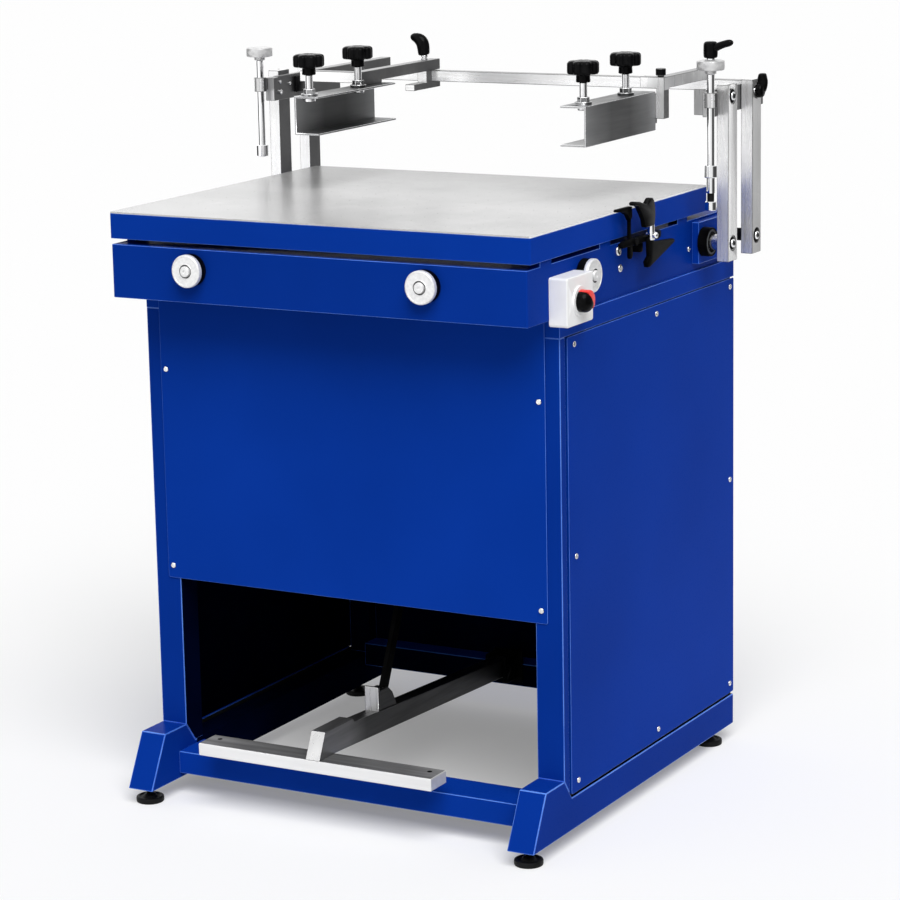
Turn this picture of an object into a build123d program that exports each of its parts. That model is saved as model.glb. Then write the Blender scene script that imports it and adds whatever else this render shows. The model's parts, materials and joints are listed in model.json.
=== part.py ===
from build123d import *
import math
import os

# Screen printing vacuum table. Millimetres, +Z up, floor at Z = 0.
# The origin lies on the floor, straight below the middle of the table top's front edge.
# +X is to the right for someone who stands at the pedal, +Y is towards the rear.

# Table top, its suction box and the register apron under it
table_width = 720.0
table_depth = 606.0
table_height = 940.0
sheet_thickness = 2.5
suction_hole_diameter = 2.0
suction_hole_pitch = 40.0
suction_hole_margin = 40.0
box_height = 38.5
box_wall = 2.0
box_rib_thickness = 3.0
register_gap = 8.0
apron_height = 82.0
apron_side_inset = 4.0
apron_front_overhang = 4.0
apron_depth = 704.0
apron_wall = 3.0
glide_gap = 0.4
glide_length = 36.0
glide_width = 16.0
glide_places = (55.0, 248.0, 523.0)
suction_port_x = 40.0
port_clearance = 0.3

# Welded base
base_width = table_width
foot_clearance = 25.0
beam_width = 45.0
foot_height = 83.0
beam_height = 51.0
nose_overhang = 15.0
nose_setback = 28.0
leg_setback = 88.0
leg_depth = 45.0
leg_gusset = 24.0
base_depth = 712.0
upper_rail_height = 30.0
cross_rail_depth = 30.0
tube_wall = 3.0
front_rail_setback = 64.0
front_rail_depth = 72.0
front_rail_height = 36.0
front_rail_lift = 34.0
rear_rail_size = 40.0
rear_rail_lift = 58.0
rear_rail_inset = 62.0

# Panels and their screws
front_panel_margin = 24.0
front_panel_bottom = 349.0
front_panel_thickness = 2.0
side_panel_thickness = 6.0
side_panel_sheet = 1.5
side_panel_front = 112.0
panel_slot = 7.0
panel_gap = 2.0
beam_to_panel = 5.0
rear_panel_bottom = 58.0
rear_panel_thickness = 2.0
screw_head_diameter = 9.0
screw_head_height = 2.4
front_screw_inset = 10.0
front_screw_lifts = (20.0, 335.0)
side_screw_insets = (21.0, 304.0, 17.0)
side_screw_margins = (17.0, 364.0, 13.0)
apron_screw_drops = ((290.0, 12.0, 15.0), (296.0, 39.0, 12.0), (545.0, 45.0, 9.0))

# Levelling feet
foot_pad_diameter = 44.0
foot_stem_diameter = 10.0
foot_stem_length = 40.0
front_foot_y = 12.0
rear_foot_inset = 50.0

# Register knobs: two move the top forwards, one moves it sideways
knob_diameter = 50.0
knob_disc = 8.0
knob_ring = 12.0
knob_hub_diameter = 18.0
knob_hub_height = 4.0
knob_drop = 31.0
knob_left_x = -210.0
knob_right_x = 192.0
knob_side_y = 173.0
knob_spindle_diameter = 8.0
slide_plate_thickness = 4.0
slide_plate_inset = 60.0

# Switch box on the right side
switch_front = 62.0
switch_length = 84.0
switch_drop = 91.0
switch_height = 72.0
switch_depth = 30.0
switch_wall = 2.5
switch_base_diameter = 44.0
switch_base_height = 3.0
switch_knob_diameter = 33.0
switch_knob_length = 16.0
switch_cap_rise = 2.0
switch_axis_y = 100.0
switch_axis_lift = 35.0

# Lifting linkage: four parallel arms
arm_thickness = 20.0
arm_depth = 34.0
arm_standoff = 31.0
arm_below_pivot = 28.0
arm_above_pivot = 18.0
arm_length = 230.0
lift_axis_y = 574.0
lift_axis_drop = 36.0
arm_spacing = 94.0
side_play = 0.3
bracket_thickness = 12.0
bracket_front = 558.0
bracket_length = 142.0
bracket_drop = 70.0
bracket_height = 66.0
shaft_diameter = 25.0
spigot_diameter = 20.0
running_clearance = 0.05
pivot_diameter = 12.0
open_pivot_clearance = 0.3
bolt_head_diameter = 23.0
bolt_recess_diameter = 24.0
bolt_recess_depth = 6.0
bearing_diameter = 46.0
bearing_thickness = 16.0
spring_outer_diameter = 40.0
spring_inner_diameter = 28.0
spring_length = 110.0
spring_place = 90.0
crank_radius = 31.0
crank_start_angle = 46.2
crank_cheek = 7.0
crank_width = 17.0
link_width = 18.0
link_thickness = 8.0
link_pin_diameter = 8.0
link_open_clearance = 2.0
link_top_offset = 1.34
pedal_pin_diameter = 10.0

# Screen carrier on top of the arms
head_thickness = 10.0
head_front = 540.0
head_rear = 740.0
head_height = 40.0
head_above_pivot = 11.0
stop_rod_offset = 9.0
stop_rod_y = 514.0
stop_rod_diameter = 12.0
stop_block_front = 526.0
stop_block_depth = 22.5
stop_block_width = 17.0
stop_ring_diameter = 21.0
stop_ring_height = 23.0
stop_knob_diameter = 43.0
stop_knob_thickness = 15.0
stop_knob_lift = 34.0
stop_collar_height = 19.0
stop_collar_drop = 131.0
stop_tail_length = 24.0
stop_bumper_length = 13.0
stop_nut_length = 14.0
bar_size = 18.0
cross_bar_front = 716.0
cross_bar_drop = 1.0
rail_overhang = 10.0
left_rail_x = -203.0
left_rail_spacing = 96.0
left_rail_front = 477.0
jaw_front = 655.0
jaw_post = 18.0
jaw_plate = 10.7
right_rail_x = 304.0
right_rail_front = 550.0
right_leg_reach = 42.0

# Channels that hold the printing screen
channel_length = 246.0
channel_height = 61.0
channel_flange = 43.0
channel_wall = 3.0
channel_drop = 66.0
channel_web_left = -212.0
channel_web_right = 299.0
channel_front = 302.0
clamp_screw_diameter = 12.0
clamp_foot_diameter = 19.0
clamp_foot_height = 6.0
clamp_nut_diameter = 19.0
clamp_nut_height = 11.0
clamp_flange_diameter = 26.0
clamp_flange_height = 4.0
star_knob_diameter = 50.0
star_knob_height = 21.0
star_knob_hub_diameter = 22.0
star_knob_hub_height = 12.0
star_knob_lift = 33.0
star_knob_lobes = 8
clamp_places = {
    "left_front": (-1, 314.0),
    "left_rear": (-1, 465.0),
    "right_front": (1, 338.0),
    "right_rear": (1, 485.0),
}

# Pedal
pedal_pin_setback = 30.0
pedal_axis_z = 100.0
pedal_x = -30.0
pedal_arm_width = 25.0
pedal_bar_length = 416.0
pedal_bar_depth = 48.0
pedal_bar_thickness = 20.0
pedal_bar_front = 5.0
pedal_bar_bottom = 91.0
pedal_hole_diameter = 8.0
pedal_hole_inset = 20.0
pedal_block_height = 41.0
pedal_block_length = 104.0
pedal_nose_slope = 20.0
pedal_arm_height_front = 38.0
pedal_arm_height_rear = 32.0
link_foot_y = 222.0
link_foot_z = 160.0

# Vacuum pump in the cabinet
pump_shelf_height = 420.0
pump_shelf_front = 240.0
pump_shelf_depth = 330.0
link_slot_width = 40.0
link_slot_length = 135.0
pump_radius = 110.0
pump_left = 120.0
pump_width = 90.0
motor_radius = 62.0
motor_length = 106.0
hose_diameter = 50.0
hose_wall = 3.0

# Edge clamp on the right, measured from its front tip and from the apron's top
clamp_front = 222.0
clamp_thickness = 9.0
clamp_standoff = 11.0
clamp_rail_length = 180.0
clamp_rail_height = 14.0
clamp_foot_start = 100.0
clamp_foot_length = 46.0
clamp_foot_drop = 25.0
clamp_foot_rise = 20.0
clamp_post_start = 64.0
clamp_post_depth = 17.0
clamp_post_drop = 21.0
clamp_post_rise = 56.0
clamp_hook_start = 12.5
clamp_hook_height = 8.0
clamp_pin_start = 130.0
clamp_pin_rise = 5.0
clamp_pin_diameter = 8.0
clamp_lever_thickness = 8.0
clamp_grip_excess = 4.0

# Places worked out from the sizes above
half_width = table_width / 2
box_top = table_height - sheet_thickness
box_bottom = box_top - box_height
apron_top = box_bottom - register_gap
knob_height = apron_top - knob_drop
switch_bottom = apron_top - switch_drop
switch_axis_z = switch_bottom + switch_axis_lift
lift_axis_z = apron_top - lift_axis_drop
bracket_bottom = apron_top - bracket_drop
front_panel_width = base_width - 2 * front_panel_margin
rear_rail_setback = base_depth - rear_rail_inset
foot_places_y = (front_foot_y, base_depth - rear_foot_inset)
pedal_axis_y = rear_rail_setback - pedal_pin_setback
apron_bottom = apron_top - apron_height
apron_half = half_width - apron_side_inset
apron_front = -apron_front_overhang
apron_rear = apron_front + apron_depth
half_base = base_width / 2
beam_inner = half_base - beam_width
foot_top = foot_clearance + foot_height
beam_top = foot_clearance + beam_height
frame_top = apron_bottom
leg_top = frame_top - upper_rail_height
panel_bottom = beam_top + beam_to_panel
panel_top = leg_top - panel_gap
panel_inner = half_base - side_panel_thickness
front_screw_rows = [front_panel_bottom + lift for lift in front_screw_lifts]
side_screw_columns = (
    side_panel_front + side_screw_insets[0],
    side_panel_front + side_screw_insets[1],
    base_depth - side_screw_insets[2],
)
side_screw_rows = (
    panel_bottom + side_screw_margins[0],
    panel_bottom + side_screw_margins[1],
    panel_top - side_screw_margins[2],
)
apron_screw_places = [(place_y, apron_top - drop, size) for place_y, drop, size in apron_screw_drops]
bracket_outer = apron_half + bracket_thickness
arm_inner_face = bracket_outer + arm_standoff
arm_outer_face = arm_inner_face + arm_thickness
stop_rod_x = arm_inner_face + stop_rod_offset
suction_port_diameter = hose_diameter + 2 * port_clearance
head_axis_z = lift_axis_z + arm_length
rear_axis_y = lift_axis_y + arm_spacing
head_outer = arm_inner_face - side_play
head_inner = head_outer - head_thickness
head_top = head_axis_z + head_above_pivot
head_bottom = head_top - head_height
stop_knob_bottom = head_top + stop_knob_lift
stop_collar_bottom = head_top - stop_collar_drop
cross_bar_top = head_top - cross_bar_drop
channel_bottom = head_top - channel_drop
cross_bar_bottom = cross_bar_top - bar_size
rail_top = cross_bar_top + bar_size
channel_top = channel_bottom + channel_height
clamp_left_x = channel_web_left + channel_flange / 2
clamp_right_x = channel_web_right - channel_flange / 2
pedal_bar_top = pedal_bar_bottom + pedal_bar_thickness
crank_lean = math.radians(crank_start_angle)
crank_pin_y = lift_axis_y - crank_radius * math.cos(crank_lean)
crank_pin_z = lift_axis_z + crank_radius * math.sin(crank_lean)

os.makedirs("parts", exist_ok=True)


def block(x0, x1, y0, y1, z0, z1):
    """A box between two corners, whichever way round they are given."""
    size = Box(abs(x1 - x0), abs(y1 - y0), abs(z1 - z0))
    return Pos((x0 + x1) / 2, (y0 + y1) / 2, (z0 + z1) / 2) * size


def rod_x(x0, x1, y, z, radius):
    return Pos((x0 + x1) / 2, y, z) * Rot(0, 90, 0) * Cylinder(radius, abs(x1 - x0))


def rod_y(x, y0, y1, z, radius):
    return Pos(x, (y0 + y1) / 2, z) * Rot(90, 0, 0) * Cylinder(radius, abs(y1 - y0))


def rod_z(x, y, z0, z1, radius):
    return Pos(x, y, (z0 + z1) / 2) * Cylinder(radius, abs(z1 - z0))


def prism_x(points, x0, x1):
    """A (y, z) outline swept along X."""
    face = Plane.YZ * make_face(Polyline(*points, close=True))
    return Pos(min(x0, x1), 0, 0) * extrude(face, abs(x1 - x0), dir=(1, 0, 0))


def prism_z(points, z0, z1):
    """An (x, y) outline swept along Z."""
    face = make_face(Polyline(*points, close=True))
    return Pos(0, 0, z0) * extrude(face, z1 - z0, dir=(0, 0, 1))


def flipped(shape):
    """The same piece on the other side of the table."""
    return mirror(shape, Plane.YZ)


def save(node, *solids):
    """One STEP file for a node, with each separate solid in it."""
    bodies = []
    for shape in solids:
        bodies.extend(shape.solids())
    export_step(Compound(children=bodies), "parts/" + node + ".step")


# Levelling feet: each pad and its stem turn in the base
foot_x = half_base - beam_width / 2
for side_name, side in (("left", -1), ("right", 1)):
    for end_name, foot_y in zip(("front", "rear"), foot_places_y):
        pad = rod_z(0, 0, 0, 9, foot_pad_diameter / 2)
        pad = chamfer(pad.edges().group_by(Axis.Z)[-1], 2.5)
        pad += Pos(0, 0, 11.5) * Cone(foot_pad_diameter / 4, foot_stem_diameter / 2, 5)
        pad += rod_z(0, 0, 12, foot_stem_length, foot_stem_diameter / 2)
        nut = extrude(RegularPolygon(9.5, 6), 7)
        pad += Pos(0, 0, foot_clearance - 7 - side_play) * nut
        save("levelling_foot_" + end_name + "_" + side_name, Pos(side * foot_x, foot_y, 0) * pad)

# Base beams: a slanted foot in front, a lower beam behind the leg
beam_outline = [
    (-nose_overhang, foot_clearance),
    (nose_setback, foot_top),
    (leg_setback, foot_top),
    (leg_setback + leg_gusset, beam_top),
    (base_depth, beam_top),
    (base_depth, foot_clearance),
]
beam_envelope = prism_x(beam_outline, beam_inner, half_base)
nose_slope = (nose_setback + nose_overhang) / foot_height
beam_hollow_outline = [
    (-nose_overhang + tube_wall * (nose_slope + 1.2), foot_clearance + tube_wall),
    (nose_setback + tube_wall, foot_top - tube_wall),
    (leg_setback - tube_wall, foot_top - tube_wall),
    (leg_setback + leg_gusset - tube_wall, beam_top - tube_wall),
    (base_depth + 1, beam_top - tube_wall),
    (base_depth + 1, foot_clearance + tube_wall),
]
beam = beam_envelope - prism_x(beam_hollow_outline, beam_inner + tube_wall, half_base - tube_wall)
for foot_y in foot_places_y:
    stem_hole = foot_stem_diameter / 2 + running_clearance
    beam -= rod_z(foot_x, foot_y, foot_clearance - 1, foot_clearance + tube_wall + 1, stem_hole)
save("base_beams", flipped(beam), beam)

# Legs: the front ones have a rebate that the side panel sits in
leg_rear_face = leg_setback + leg_depth
front_leg = prism_z(
    [
        (beam_inner, leg_setback),
        (half_base, leg_setback),
        (half_base, side_panel_front - panel_slot),
        (panel_inner, side_panel_front - panel_slot),
        (panel_inner, leg_rear_face),
        (beam_inner, leg_rear_face),
    ],
    beam_top,
    leg_top,
)
front_leg -= block(
    beam_inner + tube_wall, panel_inner - tube_wall,
    leg_setback + tube_wall, leg_rear_face - tube_wall,
    beam_top - 1, leg_top + 1,
)
front_leg -= beam_envelope
rear_leg = block(beam_inner, panel_inner, base_depth - leg_depth, base_depth, beam_top, leg_top)
rear_leg -= block(
    beam_inner + tube_wall, panel_inner - tube_wall,
    base_depth - leg_depth + tube_wall, base_depth - tube_wall,
    beam_top - 1, leg_top + 1,
)
save("legs", flipped(front_leg), front_leg, flipped(rear_leg), rear_leg)


def cross_tube(y0, y1, z0, z1):
    """A rectangular tube between the two sides of the base."""
    tube = block(-beam_inner, beam_inner, y0, y1, z0, z1)
    return tube - block(
        -beam_inner - 1, beam_inner + 1,
        y0 + tube_wall, y1 - tube_wall,
        z0 + tube_wall, z1 - tube_wall,
    )


front_rail = cross_tube(
    front_rail_setback, front_rail_setback + front_rail_depth,
    front_rail_lift, front_rail_lift + front_rail_height,
)
rear_rail = cross_tube(
    rear_rail_setback, rear_rail_setback + rear_rail_size,
    rear_rail_lift, rear_rail_lift + rear_rail_size,
)
save("lower_rails", front_rail, rear_rail)

# Upper frame: two side channels open to the inside and two cross tubes
side_channel = block(beam_inner, half_base, leg_setback, base_depth, leg_top, frame_top)
side_channel -= block(
    beam_inner - 1, half_base - tube_wall,
    leg_setback + leg_depth, base_depth - leg_depth,
    leg_top + tube_wall, frame_top - tube_wall,
)
upper_front = cross_tube(leg_setback, leg_setback + cross_rail_depth, leg_top, frame_top)
upper_rear = cross_tube(base_depth - cross_rail_depth, base_depth, leg_top, frame_top)
save("upper_frame", flipped(side_channel), side_channel, upper_front, upper_rear)

# Panels
panel_front_face = leg_setback - front_panel_thickness
front_panel = block(
    -front_panel_width / 2, front_panel_width / 2,
    panel_front_face, leg_setback,
    front_panel_bottom, frame_top - panel_gap,
)
front_panel = fillet(front_panel.edges().filter_by(Axis.Y), 3)
save("front_panel", front_panel)
side_panel = block(panel_inner, half_base, side_panel_front, base_depth, panel_bottom, panel_top)
side_panel = fillet(side_panel.edges().filter_by(Axis.X), 3)
side_panel -= block(
    panel_inner - 1, half_base - side_panel_sheet,
    side_panel_front + side_panel_sheet, base_depth - side_panel_sheet,
    panel_bottom + side_panel_sheet, panel_top - side_panel_sheet,
)
side_panel -= block(
    panel_inner - 1, half_base - side_panel_sheet,
    base_depth - leg_depth, base_depth + 1,
    beam_top - 1, leg_top + 1,
)
save("side_panels", flipped(side_panel), side_panel)
rear_panel_front = rear_rail_setback + rear_rail_size
rear_panel_rear = rear_panel_front + rear_panel_thickness
rear_panel = block(
    -beam_inner + side_play, beam_inner - side_play,
    rear_panel_front, rear_panel_rear,
    rear_panel_bottom, leg_top - panel_gap,
)
rear_panel = fillet(rear_panel.edges().filter_by(Axis.Y), 3)
for vent_row in range(6):
    for vent_x in (-150, 0, 150):
        vent_z = 560 + 22 * vent_row
        rear_panel -= block(
            vent_x - 50, vent_x + 50, rear_panel_front - 1, rear_panel_rear + 1, vent_z, vent_z + 8
        )
save("rear_panel", rear_panel)


def screw_head(diameter):
    """A low domed head that stands on the face at Z = 0."""
    height = screw_head_height * diameter / screw_head_diameter
    head = Cylinder(diameter / 2, height, align=(Align.CENTER, Align.CENTER, Align.MIN))
    head = fillet(head.edges().group_by(Axis.Z)[-1], height * 0.7)
    slot = Box(diameter * 0.13, diameter * 0.55, height * 0.67)
    return head - Pos(0, 0, height) * slot - Pos(0, 0, height) * Rot(0, 0, 90) * slot


screws = []
front_screw_x = front_panel_width / 2 - front_screw_inset
for side in (-1, 1):
    for screw_z in front_screw_rows:
        place = Pos(side * front_screw_x, panel_front_face, screw_z) * Rot(90, 0, 0)
        screws.append(place * screw_head(screw_head_diameter))
    for row, screw_z in enumerate(side_screw_rows):
        for column, screw_y in enumerate(side_screw_columns):
            if row == 1 and column == 1:
                continue
            place = Pos(side * half_base, screw_y, screw_z) * Rot(0, side * 90, 0)
            screws.append(place * screw_head(screw_head_diameter))
    for screw_y, screw_z, screw_size in apron_screw_places:
        place = Pos(side * apron_half, screw_y, screw_z) * Rot(0, side * 90, 0)
        screws.append(place * screw_head(screw_size))
save("panel_screws", *screws)

# Apron: an open-bottomed tray that carries the register slides and the arm brackets
apron = block(-apron_half, apron_half, apron_front, apron_rear, apron_bottom, apron_top)
apron = fillet(apron.edges().filter_by(Axis.Z), 2)
apron -= block(
    -apron_half + apron_wall, apron_half - apron_wall,
    apron_front + apron_wall, apron_rear - apron_wall,
    apron_bottom - 1, apron_top - apron_wall,
)
table_centre_y = table_depth / 2
apron -= rod_z(suction_port_x, table_centre_y, apron_top - apron_wall - 1, apron_top + 1, suction_port_diameter / 2)
shaft_hole = rod_x(-bracket_outer - 1, bracket_outer + 1, lift_axis_y, lift_axis_z, shaft_diameter / 2 + 1)
apron -= shaft_hole
for knob_x in (knob_left_x, knob_right_x):
    spindle_hole = knob_spindle_diameter / 2 + open_pivot_clearance
    apron -= rod_y(knob_x, apron_front - 1, apron_front + apron_wall + 1, knob_height, spindle_hole)
apron -= rod_x(apron_half - apron_wall - 1, apron_half + 1, knob_side_y, knob_height, spindle_hole)
for side in (-1, 1):
    for glide_y in glide_places:
        apron += block(
            side * apron_half, side * (apron_half - glide_width),
            glide_y - glide_length / 2, glide_y + glide_length / 2,
            apron_top, box_bottom - glide_gap,
        )
save("apron", apron)

# Cross slide between the apron and the suction box
slide_half = apron_half - slide_plate_inset
slide_front = slide_plate_inset
slide_rear = table_depth - slide_plate_inset
slide_bottom = apron_top + glide_gap
slide_top = slide_bottom + slide_plate_thickness
cross_slide = block(-slide_half, slide_half, slide_front, slide_rear, slide_bottom, slide_top)
cross_slide -= rod_z(suction_port_x, table_centre_y, slide_bottom - 1, slide_top + 1, suction_port_diameter / 2 + 6)
for key_y in (slide_front + 40, slide_rear - 40):
    cross_slide += block(
        -slide_half + 30, slide_half - 30, key_y - 8, key_y + 8, slide_top, box_bottom - glide_gap
    )
save("cross_slide", cross_slide)

# Suction box and its perforated top sheet
suction_box = block(-half_width, half_width, 0, table_depth, box_bottom, box_top)
suction_box = fillet(suction_box.edges().filter_by(Axis.Z), 1.5)
suction_box -= block(
    -half_width + box_wall, half_width - box_wall,
    box_wall, table_depth - box_wall,
    box_bottom + box_wall, box_top + 1,
)
suction_box -= rod_z(suction_port_x, table_centre_y, box_bottom - 1, box_bottom + box_wall + 1, suction_port_diameter / 2)
for rib_x in (-240, -120, 120, 240):
    suction_box += block(
        rib_x - box_rib_thickness / 2, rib_x + box_rib_thickness / 2,
        30, table_depth - 30,
        box_bottom + box_wall, box_top,
    )
save("suction_box", suction_box)
top_sheet = block(-half_width, half_width, 0, table_depth, box_top, table_height)
top_sheet = fillet(top_sheet.edges().filter_by(Axis.Z), 1.5)
hole_columns = int((table_width - 2 * suction_hole_margin) / suction_hole_pitch) + 1
hole_rows = int((table_depth - 2 * suction_hole_margin) / suction_hole_pitch) + 1
hole_places = GridLocations(suction_hole_pitch, suction_hole_pitch, hole_columns, hole_rows)
hole = Cylinder(suction_hole_diameter / 2, sheet_thickness + 2)
hole_level = Pos(0, table_centre_y, box_top + sheet_thickness / 2)
top_sheet -= [hole_level * place * hole for place in hole_places]
save("top_sheet", top_sheet)


def register_knob():
    """A dial that faces +Z, with its back at Z = 0 and its spindle behind it."""
    dial = Cylinder(knob_diameter / 2, knob_disc, align=(Align.CENTER, Align.CENTER, Align.MIN))
    dial = chamfer(dial.edges().group_by(Axis.Z)[-1], 1.2)
    dial -= Pos(0, 0, knob_disc) * (Cylinder(knob_hub_diameter / 2 + 2, 1.6) - Cylinder(knob_hub_diameter / 2, 1.6))
    dial += Pos(0, 0, knob_disc - 1 + knob_hub_height / 2) * Cylinder(knob_hub_diameter / 2 - 1, knob_hub_height)
    spindle_length = knob_ring + apron_wall + 40
    dial += Pos(0, 0, -spindle_length / 2) * Cylinder(knob_spindle_diameter / 2, spindle_length)
    return dial


def knob_scale_ring():
    """The black knurled ring behind a dial, with its back on the apron at Z = 0."""
    ring = Cylinder(knob_diameter / 2 - 0.5, knob_ring, align=(Align.CENTER, Align.CENTER, Align.MIN))
    return ring - Cylinder(knob_spindle_diameter / 2 + open_pivot_clearance, 3 * knob_ring)


dial_stand = knob_ring + side_play
front_dial = Pos(0, apron_front - dial_stand, knob_height) * Rot(90, 0, 0)
front_ring = Pos(0, apron_front, knob_height) * Rot(90, 0, 0)
side_dial = Pos(apron_half + dial_stand, knob_side_y, knob_height) * Rot(0, 90, 0)
side_ring = Pos(apron_half, knob_side_y, knob_height) * Rot(0, 90, 0)
save("register_knob_left", Pos(knob_left_x, 0, 0) * front_dial * register_knob())
save("register_knob_right", Pos(knob_right_x, 0, 0) * front_dial * register_knob())
save("register_knob_side", side_dial * register_knob())
save(
    "knob_rings",
    Pos(knob_left_x, 0, 0) * front_ring * knob_scale_ring(),
    Pos(knob_right_x, 0, 0) * front_ring * knob_scale_ring(),
    side_ring * knob_scale_ring(),
)

# Switch box, its rotary knob and the red cap on the knob
switch_outer = apron_half + switch_depth
switch_box = block(
    apron_half, switch_outer,
    switch_front, switch_front + switch_length,
    switch_bottom, switch_bottom + switch_height,
)
switch_box = fillet(switch_box.edges().filter_by(Axis.X), 4)
switch_box = fillet(switch_box.faces().sort_by(Axis.X)[-1].edges(), 2)
switch_box -= block(
    apron_half - 1, switch_outer - switch_wall,
    switch_front + switch_wall, switch_front + switch_length - switch_wall,
    switch_bottom + switch_wall, switch_bottom + switch_height - switch_wall,
)
switch_box -= block(
    apron_half - 1, half_base + side_play,
    leg_setback - side_play, switch_front + switch_length + 1,
    switch_bottom - 1, frame_top + side_play,
)
switch_base_outer = switch_outer + switch_base_height
switch_box += rod_x(switch_outer - 1, switch_base_outer, switch_axis_y, switch_axis_z, switch_base_diameter / 2)
save("switch_box", switch_box)
switch_knob_start = switch_base_outer + side_play
switch_knob_end = switch_knob_start + switch_knob_length
switch_knob_radius = switch_knob_diameter / 2


def half_knob(x_end, side):
    """Half of the rotary knob: the front half for side -1, the rear half for side 1."""
    knob = rod_x(switch_knob_start, x_end, switch_axis_y, switch_axis_z, switch_knob_radius)
    knob = fillet(knob.edges().sort_by(Axis.X)[-1], 2)
    return knob - block(
        switch_knob_start - 1, x_end + 1,
        switch_axis_y, switch_axis_y - side * (switch_knob_radius + 1),
        switch_axis_z - switch_knob_radius - 1, switch_axis_z + switch_knob_radius + 1,
    )


knob_slope = math.degrees(math.atan2(switch_knob_radius, switch_knob_length))
slope_cut = Box(4 * switch_knob_diameter, switch_knob_diameter + 4, 40, align=(Align.CENTER, Align.CENTER, Align.MIN))
slope_cut = Pos(switch_knob_start, switch_axis_y, switch_axis_z + switch_knob_radius) * Rot(0, knob_slope, 0) * slope_cut
save("switch_knob", half_knob(switch_knob_end, -1) - slope_cut)
save("switch_cap", half_knob(switch_knob_end + switch_cap_rise, 1))

# Arm brackets on both sides of the apron, with the rear arms' stub axles
bracket = block(
    apron_half, bracket_outer,
    bracket_front, bracket_front + bracket_length,
    bracket_bottom, bracket_bottom + bracket_height,
)
bracket -= shaft_hole
bracket += rod_x(bracket_outer, head_outer, rear_axis_y, lift_axis_z, spigot_diameter / 2)
stub_head_start = arm_outer_face - bolt_recess_depth + side_play
bracket += rod_x(head_outer, stub_head_start, rear_axis_y, lift_axis_z, pivot_diameter / 2)
bracket += rod_x(stub_head_start, arm_outer_face - 1, rear_axis_y, lift_axis_z, bolt_head_diameter / 2)
save("arm_brackets", flipped(bracket), bracket)
bearing = rod_x(bracket_outer, bracket_outer + bearing_thickness, lift_axis_y, lift_axis_z, bearing_diameter / 2)
bearing_bore = shaft_diameter / 2 + running_clearance
bearing -= rod_x(bracket_outer - 1, bracket_outer + bearing_thickness + 1, lift_axis_y, lift_axis_z, bearing_bore)
save("shaft_bearings", flipped(bearing), bearing)

# Torque shaft with the crank that the pedal pulls
torque_shaft = rod_x(-head_outer, head_outer, lift_axis_y, lift_axis_z, shaft_diameter / 2)
for side in (-1, 1):
    spigot_end = arm_outer_face - bolt_recess_depth
    torque_shaft += rod_x(side * head_outer, side * spigot_end, lift_axis_y, lift_axis_z, spigot_diameter / 2)
    cap_screw = rod_x(side * spigot_end, side * (arm_outer_face - 1), lift_axis_y, lift_axis_z, spigot_diameter / 2 - 1)
    cap_screw -= rod_x(side * (arm_outer_face - 4), side * arm_outer_face, lift_axis_y, lift_axis_z, 5)
    torque_shaft += cap_screw
link_x0 = pedal_x - link_thickness / 2
link_x1 = pedal_x + link_thickness / 2
web_y = crank_width / 2 * math.sin(crank_lean)
web_z = crank_width / 2 * math.cos(crank_lean)
for cheek_start, cheek_end in ((link_x0 - 1, link_x0 - 1 - crank_cheek), (link_x1 + 1, link_x1 + 1 + crank_cheek)):
    cheek = rod_x(cheek_start, cheek_end, lift_axis_y, lift_axis_z, shaft_diameter / 2 + 7)
    cheek += rod_x(cheek_start, cheek_end, crank_pin_y, crank_pin_z, crank_width / 2)
    cheek += prism_x(
        [
            (lift_axis_y - web_y, lift_axis_z - web_z),
            (lift_axis_y + web_y, lift_axis_z + web_z),
            (crank_pin_y + web_y, crank_pin_z + web_z),
            (crank_pin_y - web_y, crank_pin_z - web_z),
        ],
        cheek_start, cheek_end,
    )
    torque_shaft += cheek
pin_start = link_x0 - 1 - crank_cheek
pin_end = link_x1 + 1 + crank_cheek
torque_shaft += rod_x(pin_start, pin_end, crank_pin_y, crank_pin_z, link_pin_diameter / 2)
save("torque_shaft", torque_shaft)

# Return springs round the shaft, each held by a leg that hooks on the apron
springs = []
for side in (-1, 1):
    spring_end = spring_place + spring_length
    spring = rod_x(side * spring_place, side * spring_end, lift_axis_y, lift_axis_z, spring_outer_diameter / 2)
    bore = rod_x(side * (spring_place - 1), side * (spring_end + 1), lift_axis_y, lift_axis_z, spring_inner_diameter / 2)
    leg = rod_z(side * (spring_place + 4), lift_axis_y + 17, lift_axis_z, apron_top - apron_wall, 3)
    springs.append(spring + leg - bore)
save("lift_springs", *springs)


def lift_arm(axis_y, lower_bore, upper_bore):
    """A right-hand arm with its pivot bores and the recesses for their bolts."""
    arm = block(
        arm_inner_face, arm_outer_face,
        axis_y - arm_depth / 2, axis_y + arm_depth / 2,
        lift_axis_z - arm_below_pivot, head_axis_z + arm_above_pivot,
    )
    recess_start = arm_outer_face - bolt_recess_depth
    for axis_z, bore in ((lift_axis_z, lower_bore), (head_axis_z, upper_bore)):
        arm -= rod_x(arm_inner_face - 1, arm_outer_face + 1, axis_y, axis_z, bore)
        arm -= rod_x(recess_start, arm_outer_face + 1, axis_y, axis_z, bolt_recess_diameter / 2)
    return arm


stud_bore = pivot_diameter / 2 + running_clearance
open_bore = pivot_diameter / 2 + open_pivot_clearance
front_arm = lift_arm(lift_axis_y, spigot_diameter / 2 + running_clearance, stud_bore)
front_arm -= block(
    arm_outer_face - bolt_recess_depth, arm_outer_face + 1,
    lift_axis_y - bolt_recess_diameter / 2, lift_axis_y + bolt_recess_diameter / 2,
    head_axis_z, head_axis_z + arm_above_pivot + 1,
)
save("front_arms", flipped(front_arm), front_arm)
rear_arm = lift_arm(rear_axis_y, stud_bore, open_bore)
save("rear_arm_left", flipped(rear_arm))
save("rear_arm_right", rear_arm)

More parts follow.
